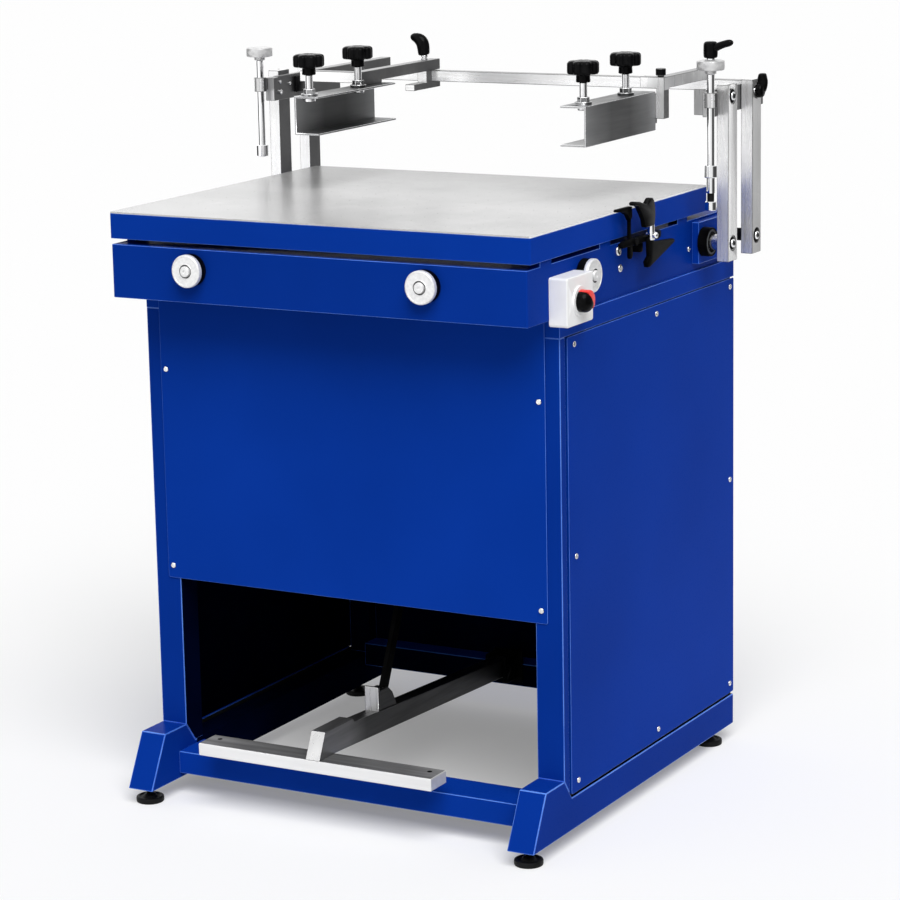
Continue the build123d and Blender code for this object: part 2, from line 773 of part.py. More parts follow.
# Heads: each joins the tops of two arms, holds a stop rod and one end of the cross bar
head = block(head_inner, head_outer, head_front, head_rear, head_bottom, head_top)
head_stud_end = arm_outer_face - bolt_recess_depth + side_play


def head_stud(axis_y):
    stud = rod_x(head_outer, head_stud_end, axis_y, head_axis_z, pivot_diameter / 2)
    return stud + rod_x(head_stud_end, arm_outer_face - 1, axis_y, head_axis_z, bolt_head_diameter / 2)


stop_block = block(
    head_inner, head_inner + stop_block_width,
    stop_block_front, stop_block_front + stop_block_depth,
    head_bottom, head_top - 2,
)
ring_bottom = (head_bottom + head_top - stop_ring_height) / 2 + 8
stop_block += rod_z(stop_rod_x, stop_rod_y, ring_bottom, ring_bottom + stop_ring_height, stop_ring_diameter / 2)
stop_block += block(
    stop_rod_x - 7, stop_rod_x + 7, stop_rod_y, stop_block_front + 1, ring_bottom + 2, ring_bottom + stop_ring_height - 2
)
stop_bore = rod_z(stop_rod_x, stop_rod_y, head_bottom, head_top + 40, stop_rod_diameter / 2 + running_clearance)
head_common = head + stop_block + head_stud(lift_axis_y) - stop_bore
left_head = flipped(head_common + head_stud(rear_axis_y))
lever_stud_bore = rod_x(head_inner - 1, head_outer + 1, rear_axis_y, head_axis_z, pivot_diameter / 2 + running_clearance)
lock_plate = block(head_inner - bar_size, head_inner, head_front - 6, head_front, head_bottom + 2, head_top + 2)
lock_plate += block(head_inner - 4, head_inner, head_front - 6, head_front + 14, head_bottom + 2, head_top)
right_head = head_common + lock_plate - lever_stud_bore
save("heads", left_head, right_head)
cross_bar = block(
    -head_inner, head_inner,
    cross_bar_front, cross_bar_front + bar_size,
    cross_bar_bottom, cross_bar_top,
)
save("cross_bar", cross_bar)

# Clamp lever that locks the right rear arm to its head
hub_start = arm_outer_face + side_play
arm_lever = rod_x(head_inner + 1, hub_start, rear_axis_y, head_axis_z, pivot_diameter / 2)
arm_lever += rod_x(hub_start, hub_start + 14, rear_axis_y, head_axis_z, 10)
arm_lever += rod_x(hub_start + 13, hub_start + 20, rear_axis_y, head_axis_z, 8)
arm_lever += block(
    hub_start + 13, hub_start + 22, rear_axis_y - 6, rear_axis_y + 6, head_axis_z - 5, head_axis_z + 34
)
arm_lever = fillet(arm_lever.edges().filter_by(Axis.X).group_by(Axis.Z)[-1], 4)
save("arm_lock_lever", arm_lever)

# Stop rods: collar and rod move up and down, the knob turns
for side_name, side in (("left", -1), ("right", 1)):
    rod_x_place = side * stop_rod_x
    rod_top = stop_knob_bottom - 6
    rod = rod_z(rod_x_place, stop_rod_y, stop_collar_bottom, rod_top, stop_rod_diameter / 2)
    collar_top = stop_collar_bottom + stop_collar_height
    collar = rod_z(rod_x_place, stop_rod_y, stop_collar_bottom, collar_top, stop_ring_diameter / 2)
    collar = chamfer(collar.edges().filter_by(GeomType.CIRCLE), 1)
    rod += collar
    if side > 0:
        tail_end = stop_collar_bottom - stop_tail_length
        bumper_end = tail_end - stop_bumper_length
        rod += rod_z(rod_x_place, stop_rod_y, tail_end, stop_collar_bottom, stop_rod_diameter / 2 + 0.7)
        rod += rod_z(rod_x_place, stop_rod_y, bumper_end, tail_end, stop_rod_diameter / 2 - 0.5)
        rod += rod_z(rod_x_place, stop_rod_y, bumper_end - stop_nut_length, bumper_end, stop_ring_diameter / 2 - 1.5)
    save("stop_rod_" + side_name, rod)
    knob = rod_z(0, 0, stop_knob_bottom, stop_knob_bottom + stop_knob_thickness, stop_knob_diameter / 2)
    knob = fillet(knob.edges().filter_by(GeomType.CIRCLE), 2.5)
    knob += rod_z(0, 0, rod_top + side_play, stop_knob_bottom + 1, 9)
    save("stop_knob_" + side_name, Pos(rod_x_place, stop_rod_y, 0) * knob)

# Clamp lever on top of the right stop knob
lever_base = stop_knob_bottom + stop_knob_thickness + side_play
rod_lever = rod_z(stop_rod_x, stop_rod_y, lever_base, lever_base + 4, 7)
rod_lever += rod_z(stop_rod_x, stop_rod_y, lever_base + 2, lever_base + 28, 10.5)
lever_arm = Pos(stop_rod_x + 18, stop_rod_y, lever_base + 25) * Rot(0, -14, 0) * Box(40, 11, 9)
lever_arm = fillet(lever_arm.edges().filter_by(Axis.Y), 3.5)
save("rod_lock_lever", rod_lever + lever_arm)

# Left carriage: a fork of two rails on the cross bar, with a jaw round the bar
rail_half = bar_size / 2
rail_bottom = cross_bar_top + side_play
rail_rear = cross_bar_front + bar_size + rail_overhang
fork_left = left_rail_x - left_rail_spacing
left_carriage = block(
    fork_left - rail_half, left_rail_x + rail_half,
    left_rail_front, left_rail_front + bar_size, rail_bottom, rail_top,
)
for rail_x in (fork_left, left_rail_x):
    left_carriage += block(
        rail_x - rail_half, rail_x + rail_half, left_rail_front, rail_rear, rail_bottom, rail_top
    )
left_carriage += block(
    channel_web_left, left_rail_x + rail_half,
    left_rail_front + clamp_flange_height, channel_front + channel_length, channel_top, rail_bottom + 1,
)
jaw_back = cross_bar_front - side_play
jaw_top = cross_bar_bottom - side_play
left_carriage += block(
    left_rail_x - rail_half, left_rail_x + rail_half, jaw_back - jaw_post, jaw_back, jaw_top - jaw_plate, rail_bottom + 1
)
left_carriage += block(
    left_rail_x - rail_half, left_rail_x + rail_half, jaw_front, rail_rear, jaw_top - jaw_plate, jaw_top
)
save("left_carriage", left_carriage)
carriage_lever_y = jaw_back - jaw_post / 2
carriage_lever = rod_z(left_rail_x, carriage_lever_y, rail_top + side_play, rail_top + 9, 6)
carriage_lever += rod_z(left_rail_x, carriage_lever_y, rail_top + 8, rail_top + 32, 10.5)
lever_arm = Pos(left_rail_x - 14, carriage_lever_y, rail_top + 34) * Rot(0, 24, 0) * Box(32, 12, 10)
lever_arm = fillet(lever_arm.edges().filter_by(Axis.Y), 4)
save("carriage_lever", carriage_lever + lever_arm)

# Right carriage: fixed on the cross bar, with a hanger down to the channel
right_carriage = block(
    right_rail_x - rail_half, right_rail_x + rail_half, right_rail_front, rail_rear, cross_bar_top, rail_top
)
right_carriage += block(
    right_rail_x + rail_half - right_leg_reach, right_rail_x + rail_half,
    right_rail_front, right_rail_front + bar_size, cross_bar_top, rail_top,
)
hanger_bottom = channel_bottom + bar_size
right_carriage += block(
    channel_web_right, right_rail_x + rail_half,
    right_rail_front, right_rail_front + bar_size, hanger_bottom, cross_bar_top,
)
tongue_inner = channel_web_right - channel_wall - 5
right_carriage += block(
    tongue_inner, right_rail_x, right_rail_front, right_rail_front + 10, hanger_bottom, channel_top - 4
)
right_carriage += block(
    tongue_inner, channel_web_right - channel_wall,
    right_rail_front - 50, right_rail_front + 10, channel_bottom + 10, channel_top - 4,
)
cap_x = right_rail_x - 1
right_carriage += rod_z(cap_x, right_rail_front + 9, rail_top, rail_top + 3, 5)
right_carriage += rod_z(cap_x, right_rail_front + 9, rail_top + 2, rail_top + 13, 8)
save("right_carriage", right_carriage)


def screen_channel(web_x, inward):
    """A U channel open towards the middle of the table, with welded nuts for the clamp screws."""
    web_end = web_x + inward * channel_wall
    tip_x = web_x + inward * channel_flange
    rear = channel_front + channel_length
    channel = block(web_x, web_end, channel_front, rear, channel_bottom, channel_top)
    channel += block(web_x, tip_x, channel_front, rear, channel_bottom, channel_bottom + channel_wall)
    channel += block(web_x, tip_x, channel_front, rear, channel_top - channel_wall, channel_top)
    return channel


def with_nuts(channel, screw_x, side):
    for place_side, screw_y in clamp_places.values():
        if place_side == side:
            flange_top = channel_top + clamp_flange_height
            channel += rod_z(screw_x, screw_y, channel_top, flange_top, clamp_flange_diameter / 2)
            nut = extrude(RegularPolygon(clamp_nut_diameter / 2, 6), clamp_nut_height - clamp_flange_height)
            channel += Pos(screw_x, screw_y, flange_top) * Rot(0, 0, 30) * nut
            bore = clamp_screw_diameter / 2 + running_clearance
            channel -= rod_z(screw_x, screw_y, channel_top - 10, channel_top + 20, bore)
    return channel


save("channel_left", with_nuts(screen_channel(channel_web_left, 1), clamp_left_x, -1))
save("channel_right", with_nuts(screen_channel(channel_web_right, -1), clamp_right_x, 1))


def star_knob():
    """A lobed hand knob on its hub, with the hub's foot at Z = 0."""
    rim = Cylinder(star_knob_diameter / 2, star_knob_height, align=(Align.CENTER, Align.CENTER, Align.MIN))
    for lobe in range(star_knob_lobes):
        turn = Rot(0, 0, 360 / star_knob_lobes * (lobe + 0.5))
        groove = Pos(star_knob_diameter / 2 + 3.2, 0, star_knob_height / 2) * Cylinder(6, star_knob_height + 2)
        rim -= turn * groove
    rim = chamfer(rim.edges().group_by(Axis.Z)[-1], 1.5)
    hub = Cylinder(
        star_knob_hub_diameter / 2, star_knob_hub_height + 1, align=(Align.CENTER, Align.CENTER, Align.MIN)
    )
    return Pos(0, 0, star_knob_hub_height) * rim + hub


spindle_top = channel_top + star_knob_lift - side_play
foot_top_z = channel_top - channel_wall - side_play
for place_name, (side, screw_y) in clamp_places.items():
    screw_x = clamp_left_x if side < 0 else clamp_right_x
    spindle = rod_z(screw_x, screw_y, foot_top_z - 1, spindle_top, clamp_screw_diameter / 2)
    foot = rod_z(screw_x, screw_y, foot_top_z - clamp_foot_height, foot_top_z, clamp_foot_diameter / 2)
    foot = chamfer(foot.edges().filter_by(GeomType.CIRCLE), 1)
    save("clamp_spindle_" + place_name, spindle + foot)
    knob = Pos(screw_x, screw_y, channel_top + star_knob_lift) * star_knob()
    save("star_knob_" + place_name, knob)

# Pedal: a cross bar on a long arm that swings on a pin at the rear rail
arm_half = pedal_arm_width / 2
pedal_left = pedal_x - arm_half
pedal_right = pedal_x + arm_half
pedal_bar_rear = pedal_bar_front + pedal_bar_depth
pedal_bar = block(
    pedal_x - pedal_bar_length / 2, pedal_x + pedal_bar_length / 2,
    pedal_bar_front, pedal_bar_rear, pedal_bar_bottom, pedal_bar_top,
)
for side in (-1, 1):
    hole_x = pedal_x + side * (pedal_bar_length / 2 - pedal_hole_inset)
    hole_y = pedal_bar_rear - pedal_bar_depth / 3
    pedal_bar -= rod_z(hole_x, hole_y, pedal_bar_bottom - 1, pedal_bar_top + 1, pedal_hole_diameter / 2)
save("pedal_bar", pedal_bar)
block_end = pedal_bar_front + pedal_block_length
arm_outline = [
    (pedal_bar_front + 0.5, pedal_bar_top),
    (pedal_bar_front + pedal_nose_slope, pedal_bar_top + pedal_block_height),
    (block_end, pedal_bar_top + pedal_block_height - 1),
    (block_end + 4, pedal_bar_top + pedal_arm_height_front - 5),
    (pedal_axis_y, pedal_axis_z + pedal_arm_height_rear / 2),
    (pedal_axis_y, pedal_axis_z - pedal_arm_height_rear / 2),
    (block_end, pedal_bar_top - 3),
    (pedal_bar_rear, pedal_bar_top),
]
pedal_arm = prism_x(arm_outline, pedal_left, pedal_right)
pedal_arm += rod_x(pedal_left, pedal_right, pedal_axis_y, pedal_axis_z, pedal_arm_height_rear / 2)
pedal_bore = pedal_pin_diameter / 2 + running_clearance
pedal_arm -= rod_x(pedal_left - 1, pedal_right + 1, pedal_axis_y, pedal_axis_z, pedal_bore)
lug_bottom = pedal_bar_top + 20
lug_top = link_foot_z + 19
lug_front = link_foot_y - 34
pedal_arm += block(pedal_left, pedal_right, lug_front, lug_front + 5, lug_bottom, lug_top)
lug_slot = link_thickness / 2 + 0.5
for lug_start, lug_end in ((pedal_x - lug_slot, pedal_x - lug_slot - 6), (pedal_x + lug_slot, pedal_x + lug_slot + 6)):
    lug = prism_x(
        [
            (lug_front, lug_bottom),
            (lug_front, link_foot_z + 12),
            (link_foot_y, link_foot_z + 12),
            (link_foot_y + 14, link_foot_z),
            (link_foot_y + 30, lug_bottom),
        ],
        lug_start, lug_end,
    )
    pedal_arm += lug
lug_pin_start = pedal_x - lug_slot - 6
lug_pin_end = pedal_x + lug_slot + 6
pedal_arm -= block(pedal_x - lug_slot, pedal_x + lug_slot, link_foot_y - 16, link_foot_y + 34, link_foot_z - 16, link_foot_z + 20)
pedal_arm += rod_x(lug_pin_start, lug_pin_end, link_foot_y, link_foot_z, link_pin_diameter / 2)
save("pedal_arm", pedal_arm)

# Push link from the pedal's lug up to the crank
link_run_y = crank_pin_y - link_foot_y
link_run_z = crank_pin_z - link_foot_z
link_length = math.hypot(link_run_y, link_run_z)
link_angle = math.degrees(math.atan2(link_run_y, link_run_z))
link_angle -= math.degrees(math.atan2(link_top_offset, link_length))
link = block(-link_thickness / 2, link_thickness / 2, -link_width / 2, link_width / 2, 0, link_length)
link += rod_x(-link_thickness / 2, link_thickness / 2, 0, 0, link_width / 2)
link += rod_x(-link_thickness / 2, link_thickness / 2, 0, link_length, link_width / 2)
link -= rod_x(-link_thickness, link_thickness, 0, 0, link_pin_diameter / 2 + running_clearance)
link -= rod_x(-link_thickness, link_thickness, 0, link_length, link_pin_diameter / 2 + link_open_clearance)
save("push_link", Pos(pedal_x, link_foot_y, link_foot_z) * Rot(-link_angle, 0, 0) * link)

# Pedal bracket: two cheeks on the rear rail and the pin between them
cheek_gap = 1.0
pedal_bracket = []
for start, end in ((pedal_left - cheek_gap, pedal_left - cheek_gap - 6), (pedal_right + cheek_gap, pedal_right + cheek_gap + 6)):
    cheek = block(start, end, pedal_axis_y - 18, rear_rail_setback, pedal_axis_z - 26, pedal_axis_z + 22)
    cheek = fillet(cheek.edges().filter_by(Axis.X).group_by(Axis.Y)[0], 6)
    pedal_bracket.append(cheek)
pivot_pin = rod_x(pedal_left - cheek_gap - 9, pedal_right + cheek_gap + 9, pedal_axis_y, pedal_axis_z, pedal_pin_diameter / 2)
bracket_body = pedal_bracket[0] + pedal_bracket[1] + pivot_pin
bracket_body += block(
    pedal_left - cheek_gap - 14, pedal_right + cheek_gap + 14,
    rear_rail_setback - 5, rear_rail_setback, rear_rail_lift + 8, pedal_axis_z + 22,
)
save("pedal_bracket", bracket_body)

# Edge clamp on the right: a fixed finger beside the table edge and a hand lever
clamp_inner = apron_half + clamp_standoff
clamp_outer = clamp_inner + clamp_thickness


def clamp_part(x0, x1, start, length, bottom, height):
    """A block of the clamp, placed from its front tip and from the apron's top."""
    front = clamp_front + start
    return block(x0, x1, front, front + length, apron_top + bottom, apron_top + bottom + height)


def clamp_outline(points):
    return [(clamp_front + place, apron_top + rise) for place, rise in points]


rail_drop = clamp_rail_height / 2
hook_rise = clamp_post_rise - clamp_hook_height
post_front = clamp_post_start + 1
clamp_base = clamp_part(apron_half, clamp_inner + 1, clamp_foot_start, clamp_foot_length, -clamp_foot_drop, clamp_foot_rise)
clamp_base += clamp_part(clamp_inner, clamp_outer, 0, clamp_rail_length, -rail_drop, clamp_rail_height)
clamp_base += clamp_part(
    clamp_inner, clamp_outer, clamp_post_start, clamp_post_depth, -clamp_post_drop, clamp_post_drop + clamp_post_rise
)
clamp_base += clamp_part(
    clamp_inner, clamp_outer, clamp_hook_start, post_front - clamp_hook_start, hook_rise, clamp_hook_height
)
clamp_base += prism_x(
    clamp_outline([(post_front - 27, hook_rise + 1), (post_front, hook_rise + 1), (post_front, hook_rise - 22)]),
    clamp_inner, clamp_outer,
)
clamp_axis_y = clamp_front + clamp_pin_start
clamp_axis_z = apron_top + clamp_pin_rise
clamp_bore = clamp_pin_diameter / 2 + running_clearance
clamp_base -= rod_x(apron_half + 1, clamp_outer + 1, clamp_axis_y, clamp_axis_z, clamp_bore)
save("clamp_base", clamp_base)
lever_inner = clamp_outer + side_play
lever_outer = lever_inner + clamp_lever_thickness
lever_plate = [
    (121, 20), (138, 20), (138, -6), (210, -11), (213, -17),
    (130, -41), (116, -42), (113, -34), (124, -26), (122, -2),
]
lever_grip = [
    (107, 19), (103, 31), (96, 39.5), (86, 51), (81, 55), (65, 57.5), (64, 61.5), (69, 63), (86, 61),
    (107, 55.5), (116, 59), (125, 61.5), (133, 61), (140, 57), (144, 48.5), (145.5, 36), (142, 26), (138, 19),
]
clamp_lever = rod_x(clamp_inner + 1, lever_outer + 9, clamp_axis_y, clamp_axis_z, clamp_pin_diameter / 2)
clamp_lever += prism_x(clamp_outline(lever_plate), lever_inner, lever_outer)
clamp_lever += prism_x(clamp_outline(lever_grip), lever_inner, lever_outer + clamp_grip_excess)
save("clamp_lever", clamp_lever)

# Vacuum pump: volute and motor on a shelf across the legs, with the hose up to the suction box
shelf_top = pump_shelf_height
shelf = block(
    -beam_inner, beam_inner, pump_shelf_front, pump_shelf_front + pump_shelf_depth, shelf_top - 3, shelf_top
)
shelf -= block(
    pedal_x - link_slot_width / 2, pedal_x + link_slot_width / 2,
    pump_shelf_front - 1, pump_shelf_front + link_slot_length, shelf_top - 4, shelf_top + 1,
)
for angle_x in (-beam_inner, beam_inner - 3):
    shelf += block(angle_x, angle_x + 3, leg_rear_face, base_depth - leg_depth, shelf_top - 30, shelf_top)
save("pump_shelf", shelf)
pump_y = pump_shelf_front + pump_shelf_depth / 2
pump_z = shelf_top + pump_radius + 12
volute = rod_x(pump_left, pump_left + pump_width, pump_y, pump_z, pump_radius)
motor = rod_x(pump_left + pump_width - 1, pump_left + pump_width + motor_length, pump_y, pump_z, motor_radius)
pump_feet = block(pump_left + 20, pump_left + pump_width - 20, pump_y - 80, pump_y + 80, shelf_top, pump_z - 60)
motor_foot = block(
    pump_left + pump_width + 40, pump_left + pump_width + motor_length - 20,
    pump_y - 50, pump_y + 50, shelf_top, pump_z - motor_radius + 12,
)
pump_inlet = rod_x(pump_left - 40, pump_left + 1, pump_y, pump_z, hose_diameter / 2)
save("vacuum_pump", volute + motor + pump_feet + motor_foot + pump_inlet)
hose_start_x = pump_left - 40
hose_path = FilletPolyline(
    (hose_start_x, pump_y, pump_z),
    (suction_port_x, pump_y, pump_z),
    (suction_port_x, pump_y, pump_z + 120),
    (suction_port_x, table_centre_y, pump_z + 190),
    (suction_port_x, table_centre_y, apron_top),
    radius=(hose_start_x - suction_port_x) * 0.85,
)
hose_plane = Plane(origin=(hose_start_x, pump_y, pump_z), z_dir=(-1, 0, 0))
hose = sweep(hose_plane * Circle(hose_diameter / 2), hose_path)
hose -= sweep(hose_plane * Circle(hose_diameter / 2 - hose_wall), hose_path)
save("vacuum_hose", hose)

print("link length", round(link_length, 1), "angle", round(link_angle, 2))
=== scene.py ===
import bpy
import bmesh
import json
import math
from mathutils import Matrix, Vector

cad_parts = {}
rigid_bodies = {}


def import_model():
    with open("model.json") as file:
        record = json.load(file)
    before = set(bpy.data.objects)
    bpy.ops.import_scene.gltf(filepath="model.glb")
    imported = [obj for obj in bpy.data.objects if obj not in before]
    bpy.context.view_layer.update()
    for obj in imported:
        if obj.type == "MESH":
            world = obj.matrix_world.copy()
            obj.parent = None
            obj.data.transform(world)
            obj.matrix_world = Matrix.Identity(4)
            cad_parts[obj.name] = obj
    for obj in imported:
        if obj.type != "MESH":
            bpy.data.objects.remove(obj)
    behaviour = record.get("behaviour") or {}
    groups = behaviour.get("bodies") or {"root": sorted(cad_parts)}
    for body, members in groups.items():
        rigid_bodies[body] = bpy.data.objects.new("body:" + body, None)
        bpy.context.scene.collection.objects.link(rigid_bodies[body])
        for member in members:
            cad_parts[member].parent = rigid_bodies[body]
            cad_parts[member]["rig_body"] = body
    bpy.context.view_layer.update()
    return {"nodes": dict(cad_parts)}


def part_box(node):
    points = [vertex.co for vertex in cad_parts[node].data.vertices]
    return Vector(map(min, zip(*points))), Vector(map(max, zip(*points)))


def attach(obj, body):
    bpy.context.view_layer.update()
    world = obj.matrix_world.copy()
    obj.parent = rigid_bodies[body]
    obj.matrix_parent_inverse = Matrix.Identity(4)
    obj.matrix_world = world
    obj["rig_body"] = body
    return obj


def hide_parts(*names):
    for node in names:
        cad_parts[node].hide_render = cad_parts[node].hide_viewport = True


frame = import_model()
scene = bpy.context.scene
scene.view_settings.view_transform = "Standard"
nodes = frame["nodes"]
mm = 0.001
print("frame loaded:", len(nodes), "nodes")

# Camera at the photograph's angle, solved from the table's edges
cameraView = {
    "place": (2.3490, -3.8286, 1.5677), "yaw": 29.031, "pitch": 12.208, "roll": -1.091,
    "lens": 123.347, "sensor": 36, "clip": (0.1, 80),
}


def makeCamera(settings):
    yaw, pitch, roll = (math.radians(settings[key]) for key in ("yaw", "pitch", "roll"))
    forward = Vector((-math.sin(yaw) * math.cos(pitch), math.cos(yaw) * math.cos(pitch), -math.sin(pitch)))
    level = Vector((math.cos(yaw), math.sin(yaw), 0))
    up = level.cross(forward)
    right = math.cos(roll) * level + math.sin(roll) * up
    top = -math.sin(roll) * level + math.cos(roll) * up
    data = bpy.data.cameras.new("camera")
    data.lens = settings["lens"]
    data.sensor_width = settings["sensor"]
    data.clip_start, data.clip_end = settings["clip"]
    camera = bpy.data.objects.new("camera", data)
    scene.collection.objects.link(camera)
    turn = Matrix((right, top, -forward)).transposed().to_4x4()
    camera.matrix_world = Matrix.Translation(settings["place"]) @ turn
    scene.camera = camera


makeCamera(cameraView)

# Finishes: every one reads Object coordinates
mottleSpan = (0.32, 0.68)  # the part of the noise that runs from the dark to the light colour
cloudSpan = (0.3, 0.7)
noiseRoughness = 0.55


def objectNoise(tree, scale, stretch=(1, 1, 1), detail=3.0):
    coords = tree.nodes.new("ShaderNodeTexCoord")
    mapping = tree.nodes.new("ShaderNodeMapping")
    mapping.inputs["Scale"].default_value = stretch
    noise = tree.nodes.new("ShaderNodeTexNoise")
    noise.inputs["Scale"].default_value = scale
    noise.inputs["Detail"].default_value = detail
    noise.inputs["Roughness"].default_value = noiseRoughness
    tree.links.new(coords.outputs["Object"], mapping.inputs["Vector"])
    tree.links.new(mapping.outputs["Vector"], noise.inputs["Vector"])
    return noise.outputs["Fac"]


def colourBetween(tree, factor, stops):
    ramp = tree.nodes.new("ShaderNodeValToRGB")
    marks = ramp.color_ramp.elements
    while len(marks) < len(stops):
        marks.new(0.5)
    for mark, (place, colour) in zip(marks, stops):
        mark.position = place
        mark.color = (*colour, 1)
    tree.links.new(factor, ramp.inputs["Fac"])
    return ramp.outputs["Color"]


def valueBetween(tree, factor, low, high, start=0.3, end=0.7):
    spread = tree.nodes.new("ShaderNodeMapRange")
    spread.inputs["From Min"].default_value = start
    spread.inputs["From Max"].default_value = end
    spread.inputs["To Min"].default_value = low
    spread.inputs["To Max"].default_value = high
    tree.links.new(factor, spread.inputs["Value"])
    return spread.outputs["Result"]


def bumpInto(tree, shader, height, strength, distance):
    bump = tree.nodes.new("ShaderNodeBump")
    bump.inputs["Strength"].default_value = strength
    bump.inputs["Distance"].default_value = distance
    tree.links.new(height, bump.inputs["Height"])
    previous = shader.inputs["Normal"].links
    if previous:
        tree.links.new(previous[0].from_socket, bump.inputs["Normal"])
    tree.links.new(bump.outputs["Normal"], shader.inputs["Normal"])


def shaded(tree, colour, tone):
    mix = tree.nodes.new("ShaderNodeMix")
    mix.data_type = "RGBA"
    mix.blend_type = "MULTIPLY"
    mix.inputs[0].default_value = 1.0
    tree.links.new(colour, mix.inputs[6])  # the Mix node's two colours and its colour result
    tree.links.new(tone, mix.inputs[7])
    return mix.outputs[2]


def spacedTones(places):
    first, last = places[0][0], places[-1][0]
    return [((place - first) / (last - first), (tone,) * 3) for place, tone in places]


def objectRun(tree, axis, start, end):
    coords = tree.nodes.new("ShaderNodeTexCoord")
    split = tree.nodes.new("ShaderNodeSeparateXYZ")
    tree.links.new(coords.outputs["Object"], split.inputs["Vector"])
    return valueBetween(tree, split.outputs[axis], 0.0, 1.0, start * mm, end * mm)


def makeFinish(name, settings):
    material = bpy.data.materials.new(name)
    material.use_nodes = True
    tree = material.node_tree
    shader = tree.nodes["Principled BSDF"]
    shader.inputs["Metallic"].default_value = settings.get("metallic", 0.0)
    shader.inputs["Specular IOR Level"].default_value = settings.get("specular", 0.5)
    mottle = objectNoise(tree, settings["mottle"], settings.get("mottleStretch", (1, 1, 1)))
    dark, light = settings["colours"]
    colour = colourBetween(tree, mottle, list(zip(mottleSpan, (dark, light))))
    if "clouds" in settings:  # broad patches, worn or reflected unevenly
        scale, low, high = settings["clouds"]
        tones = list(zip(cloudSpan, ((low,) * 3, (high,) * 3)))
        colour = shaded(tree, colour, colourBetween(tree, objectNoise(tree, scale), tones))
    if "along" in settings:  # tone that runs along one axis of the part, at places in millimetres
        axis, places = settings["along"]
        run = objectRun(tree, axis, places[0][0], places[-1][0])
        colour = shaded(tree, colour, colourBetween(tree, run, spacedTones(places)))
    tree.links.new(colour, shader.inputs["Base Color"])
    grain = objectNoise(tree, settings["grain"], settings.get("grainStretch", (1, 1, 1)), 2.0)
    low, high = settings["roughness"]
    tree.links.new(valueBetween(tree, grain, low, high), shader.inputs["Roughness"])
    bumpInto(tree, shader, grain, settings.get("bump", 0.1), settings.get("bumpDepth", 0.0002))
    return material


def ridges(material, axis, pitch, strength, depth):
    tree = material.node_tree
    coords = tree.nodes.new("ShaderNodeTexCoord")
    wave = tree.nodes.new("ShaderNodeTexWave")
    wave.bands_direction = axis
    wave.inputs["Scale"].default_value = math.pi / 10 / (pitch * mm)  # at scale 1 a band is pi / 10 wide
    tree.links.new(coords.outputs["Object"], wave.inputs["Vector"])
    bumpInto(tree, tree.nodes["Principled BSDF"], wave.outputs["Fac"], strength, depth)
    return material


enamel = {
    "mottle": 3.0, "clouds": (1.6, 0.93, 1.04), "roughness": (0.26, 0.36), "grain": 420.0, "bump": 0.10,
    "bumpDepth": 0.0003, "specular": 0.008,
}
bluePaint = makeFinish("blue_enamel", {**enamel, "colours": ((0.0022, 0.036, 0.318), (0.0029, 0.041, 0.356))})
# a darker copy of the same blue enamel, for the base beams, legs and apron
darkerBlue = makeFinish("blue_enamel_darker_copy", {**enamel, "colours": ((0.0018, 0.030, 0.270), (0.0024, 0.034, 0.302))})
# painted highlight: a light blue on the softened edges of the blue parts
bluePaintedHighlight = makeFinish("blue_enamel_painted_edge_highlight", {
    "colours": ((0.04, 0.14, 0.60), (0.10, 0.25, 0.78)), "mottle": 14.0,
    "roughness": (0.2, 0.32), "grain": 420.0, "bump": 0.10, "specular": 0.3,
})
# near-black painted shade for the faces that look into the cabinet, where the shade falls
cabinetPaintedShade = makeFinish("cabinet_inside_painted_shade", {
    "colours": ((0.0004, 0.0014, 0.010), (0.0007, 0.0026, 0.018)), "mottle": 6.0,
    "roughness": (0.75, 0.9), "grain": 300.0, "bump": 0.15, "specular": 0.0,
})
# Milled bar stock: tool marks run along each bar, and darker copies of it paint the shade and dimmer reflections on
# some sides, fronts and tops
milled = {"mottle": 34.0, "grain": 260.0, "bump": 0.14, "bumpDepth": 0.00015}
alongBar = {"X": (0.04, 1, 1), "Y": (1, 0.04, 1), "Z": (1, 1, 0.04)}
milledX, milledY, milledZ = (
    makeFinish("milled_aluminium_along_" + axis.lower(), {
        **milled, "colours": ((0.88, 0.88, 0.885), (0.96, 0.96, 0.96)), "mottleStretch": stretch,
        "grainStretch": stretch, "clouds": (9.0, 0.90, 1.04), "metallic": 0.62, "roughness": (0.22, 0.36),
    })
    for axis, stretch in alongBar.items()
)
# darker copies of the same milled aluminium: painted shade and dimmer painted reflections for chosen faces
paintedDimMill = makeFinish("milled_aluminium_painted_dim_face", {
    **milled, "colours": ((0.52, 0.52, 0.525), (0.66, 0.66, 0.66)), "mottleStretch": alongBar["Z"],
    "grainStretch": alongBar["Z"], "clouds": (9.0, 0.85, 1.06), "metallic": 0.7, "roughness": (0.26, 0.4),
})
paintedDimTop = makeFinish("milled_aluminium_painted_dim_top", {
    **milled, "colours": ((0.30, 0.30, 0.305), (0.42, 0.42, 0.42)), "mottleStretch": (0.2, 0.2, 1),
    "clouds": (9.0, 0.85, 1.06), "metallic": 0.7, "roughness": (0.3, 0.42),
})
paintedShadeMill = makeFinish("milled_aluminium_painted_shade_side", {
    **milled, "colours": ((0.085, 0.085, 0.087), (0.15, 0.15, 0.152)), "mottleStretch": (1, 0.2, 0.2),
    "clouds": (9.0, 0.75, 1.1), "metallic": 0.9, "roughness": (0.3, 0.44),
})
milledEdge = makeFinish("aluminium_broken_edge", {
    "colours": ((0.82, 0.83, 0.84), (0.92, 0.92, 0.93)), "mottle": 60.0, "metallic": 1.0,
    "roughness": (0.2, 0.3), "grain": 500.0, "bump": 0.08,
})
milledLine = makeFinish("aluminium_edge_line", {
    "colours": ((0.12, 0.12, 0.122), (0.22, 0.22, 0.22)), "mottle": 60.0, "metallic": 0.7,
    "roughness": (0.3, 0.42), "grain": 500.0, "bump": 0.08,
})
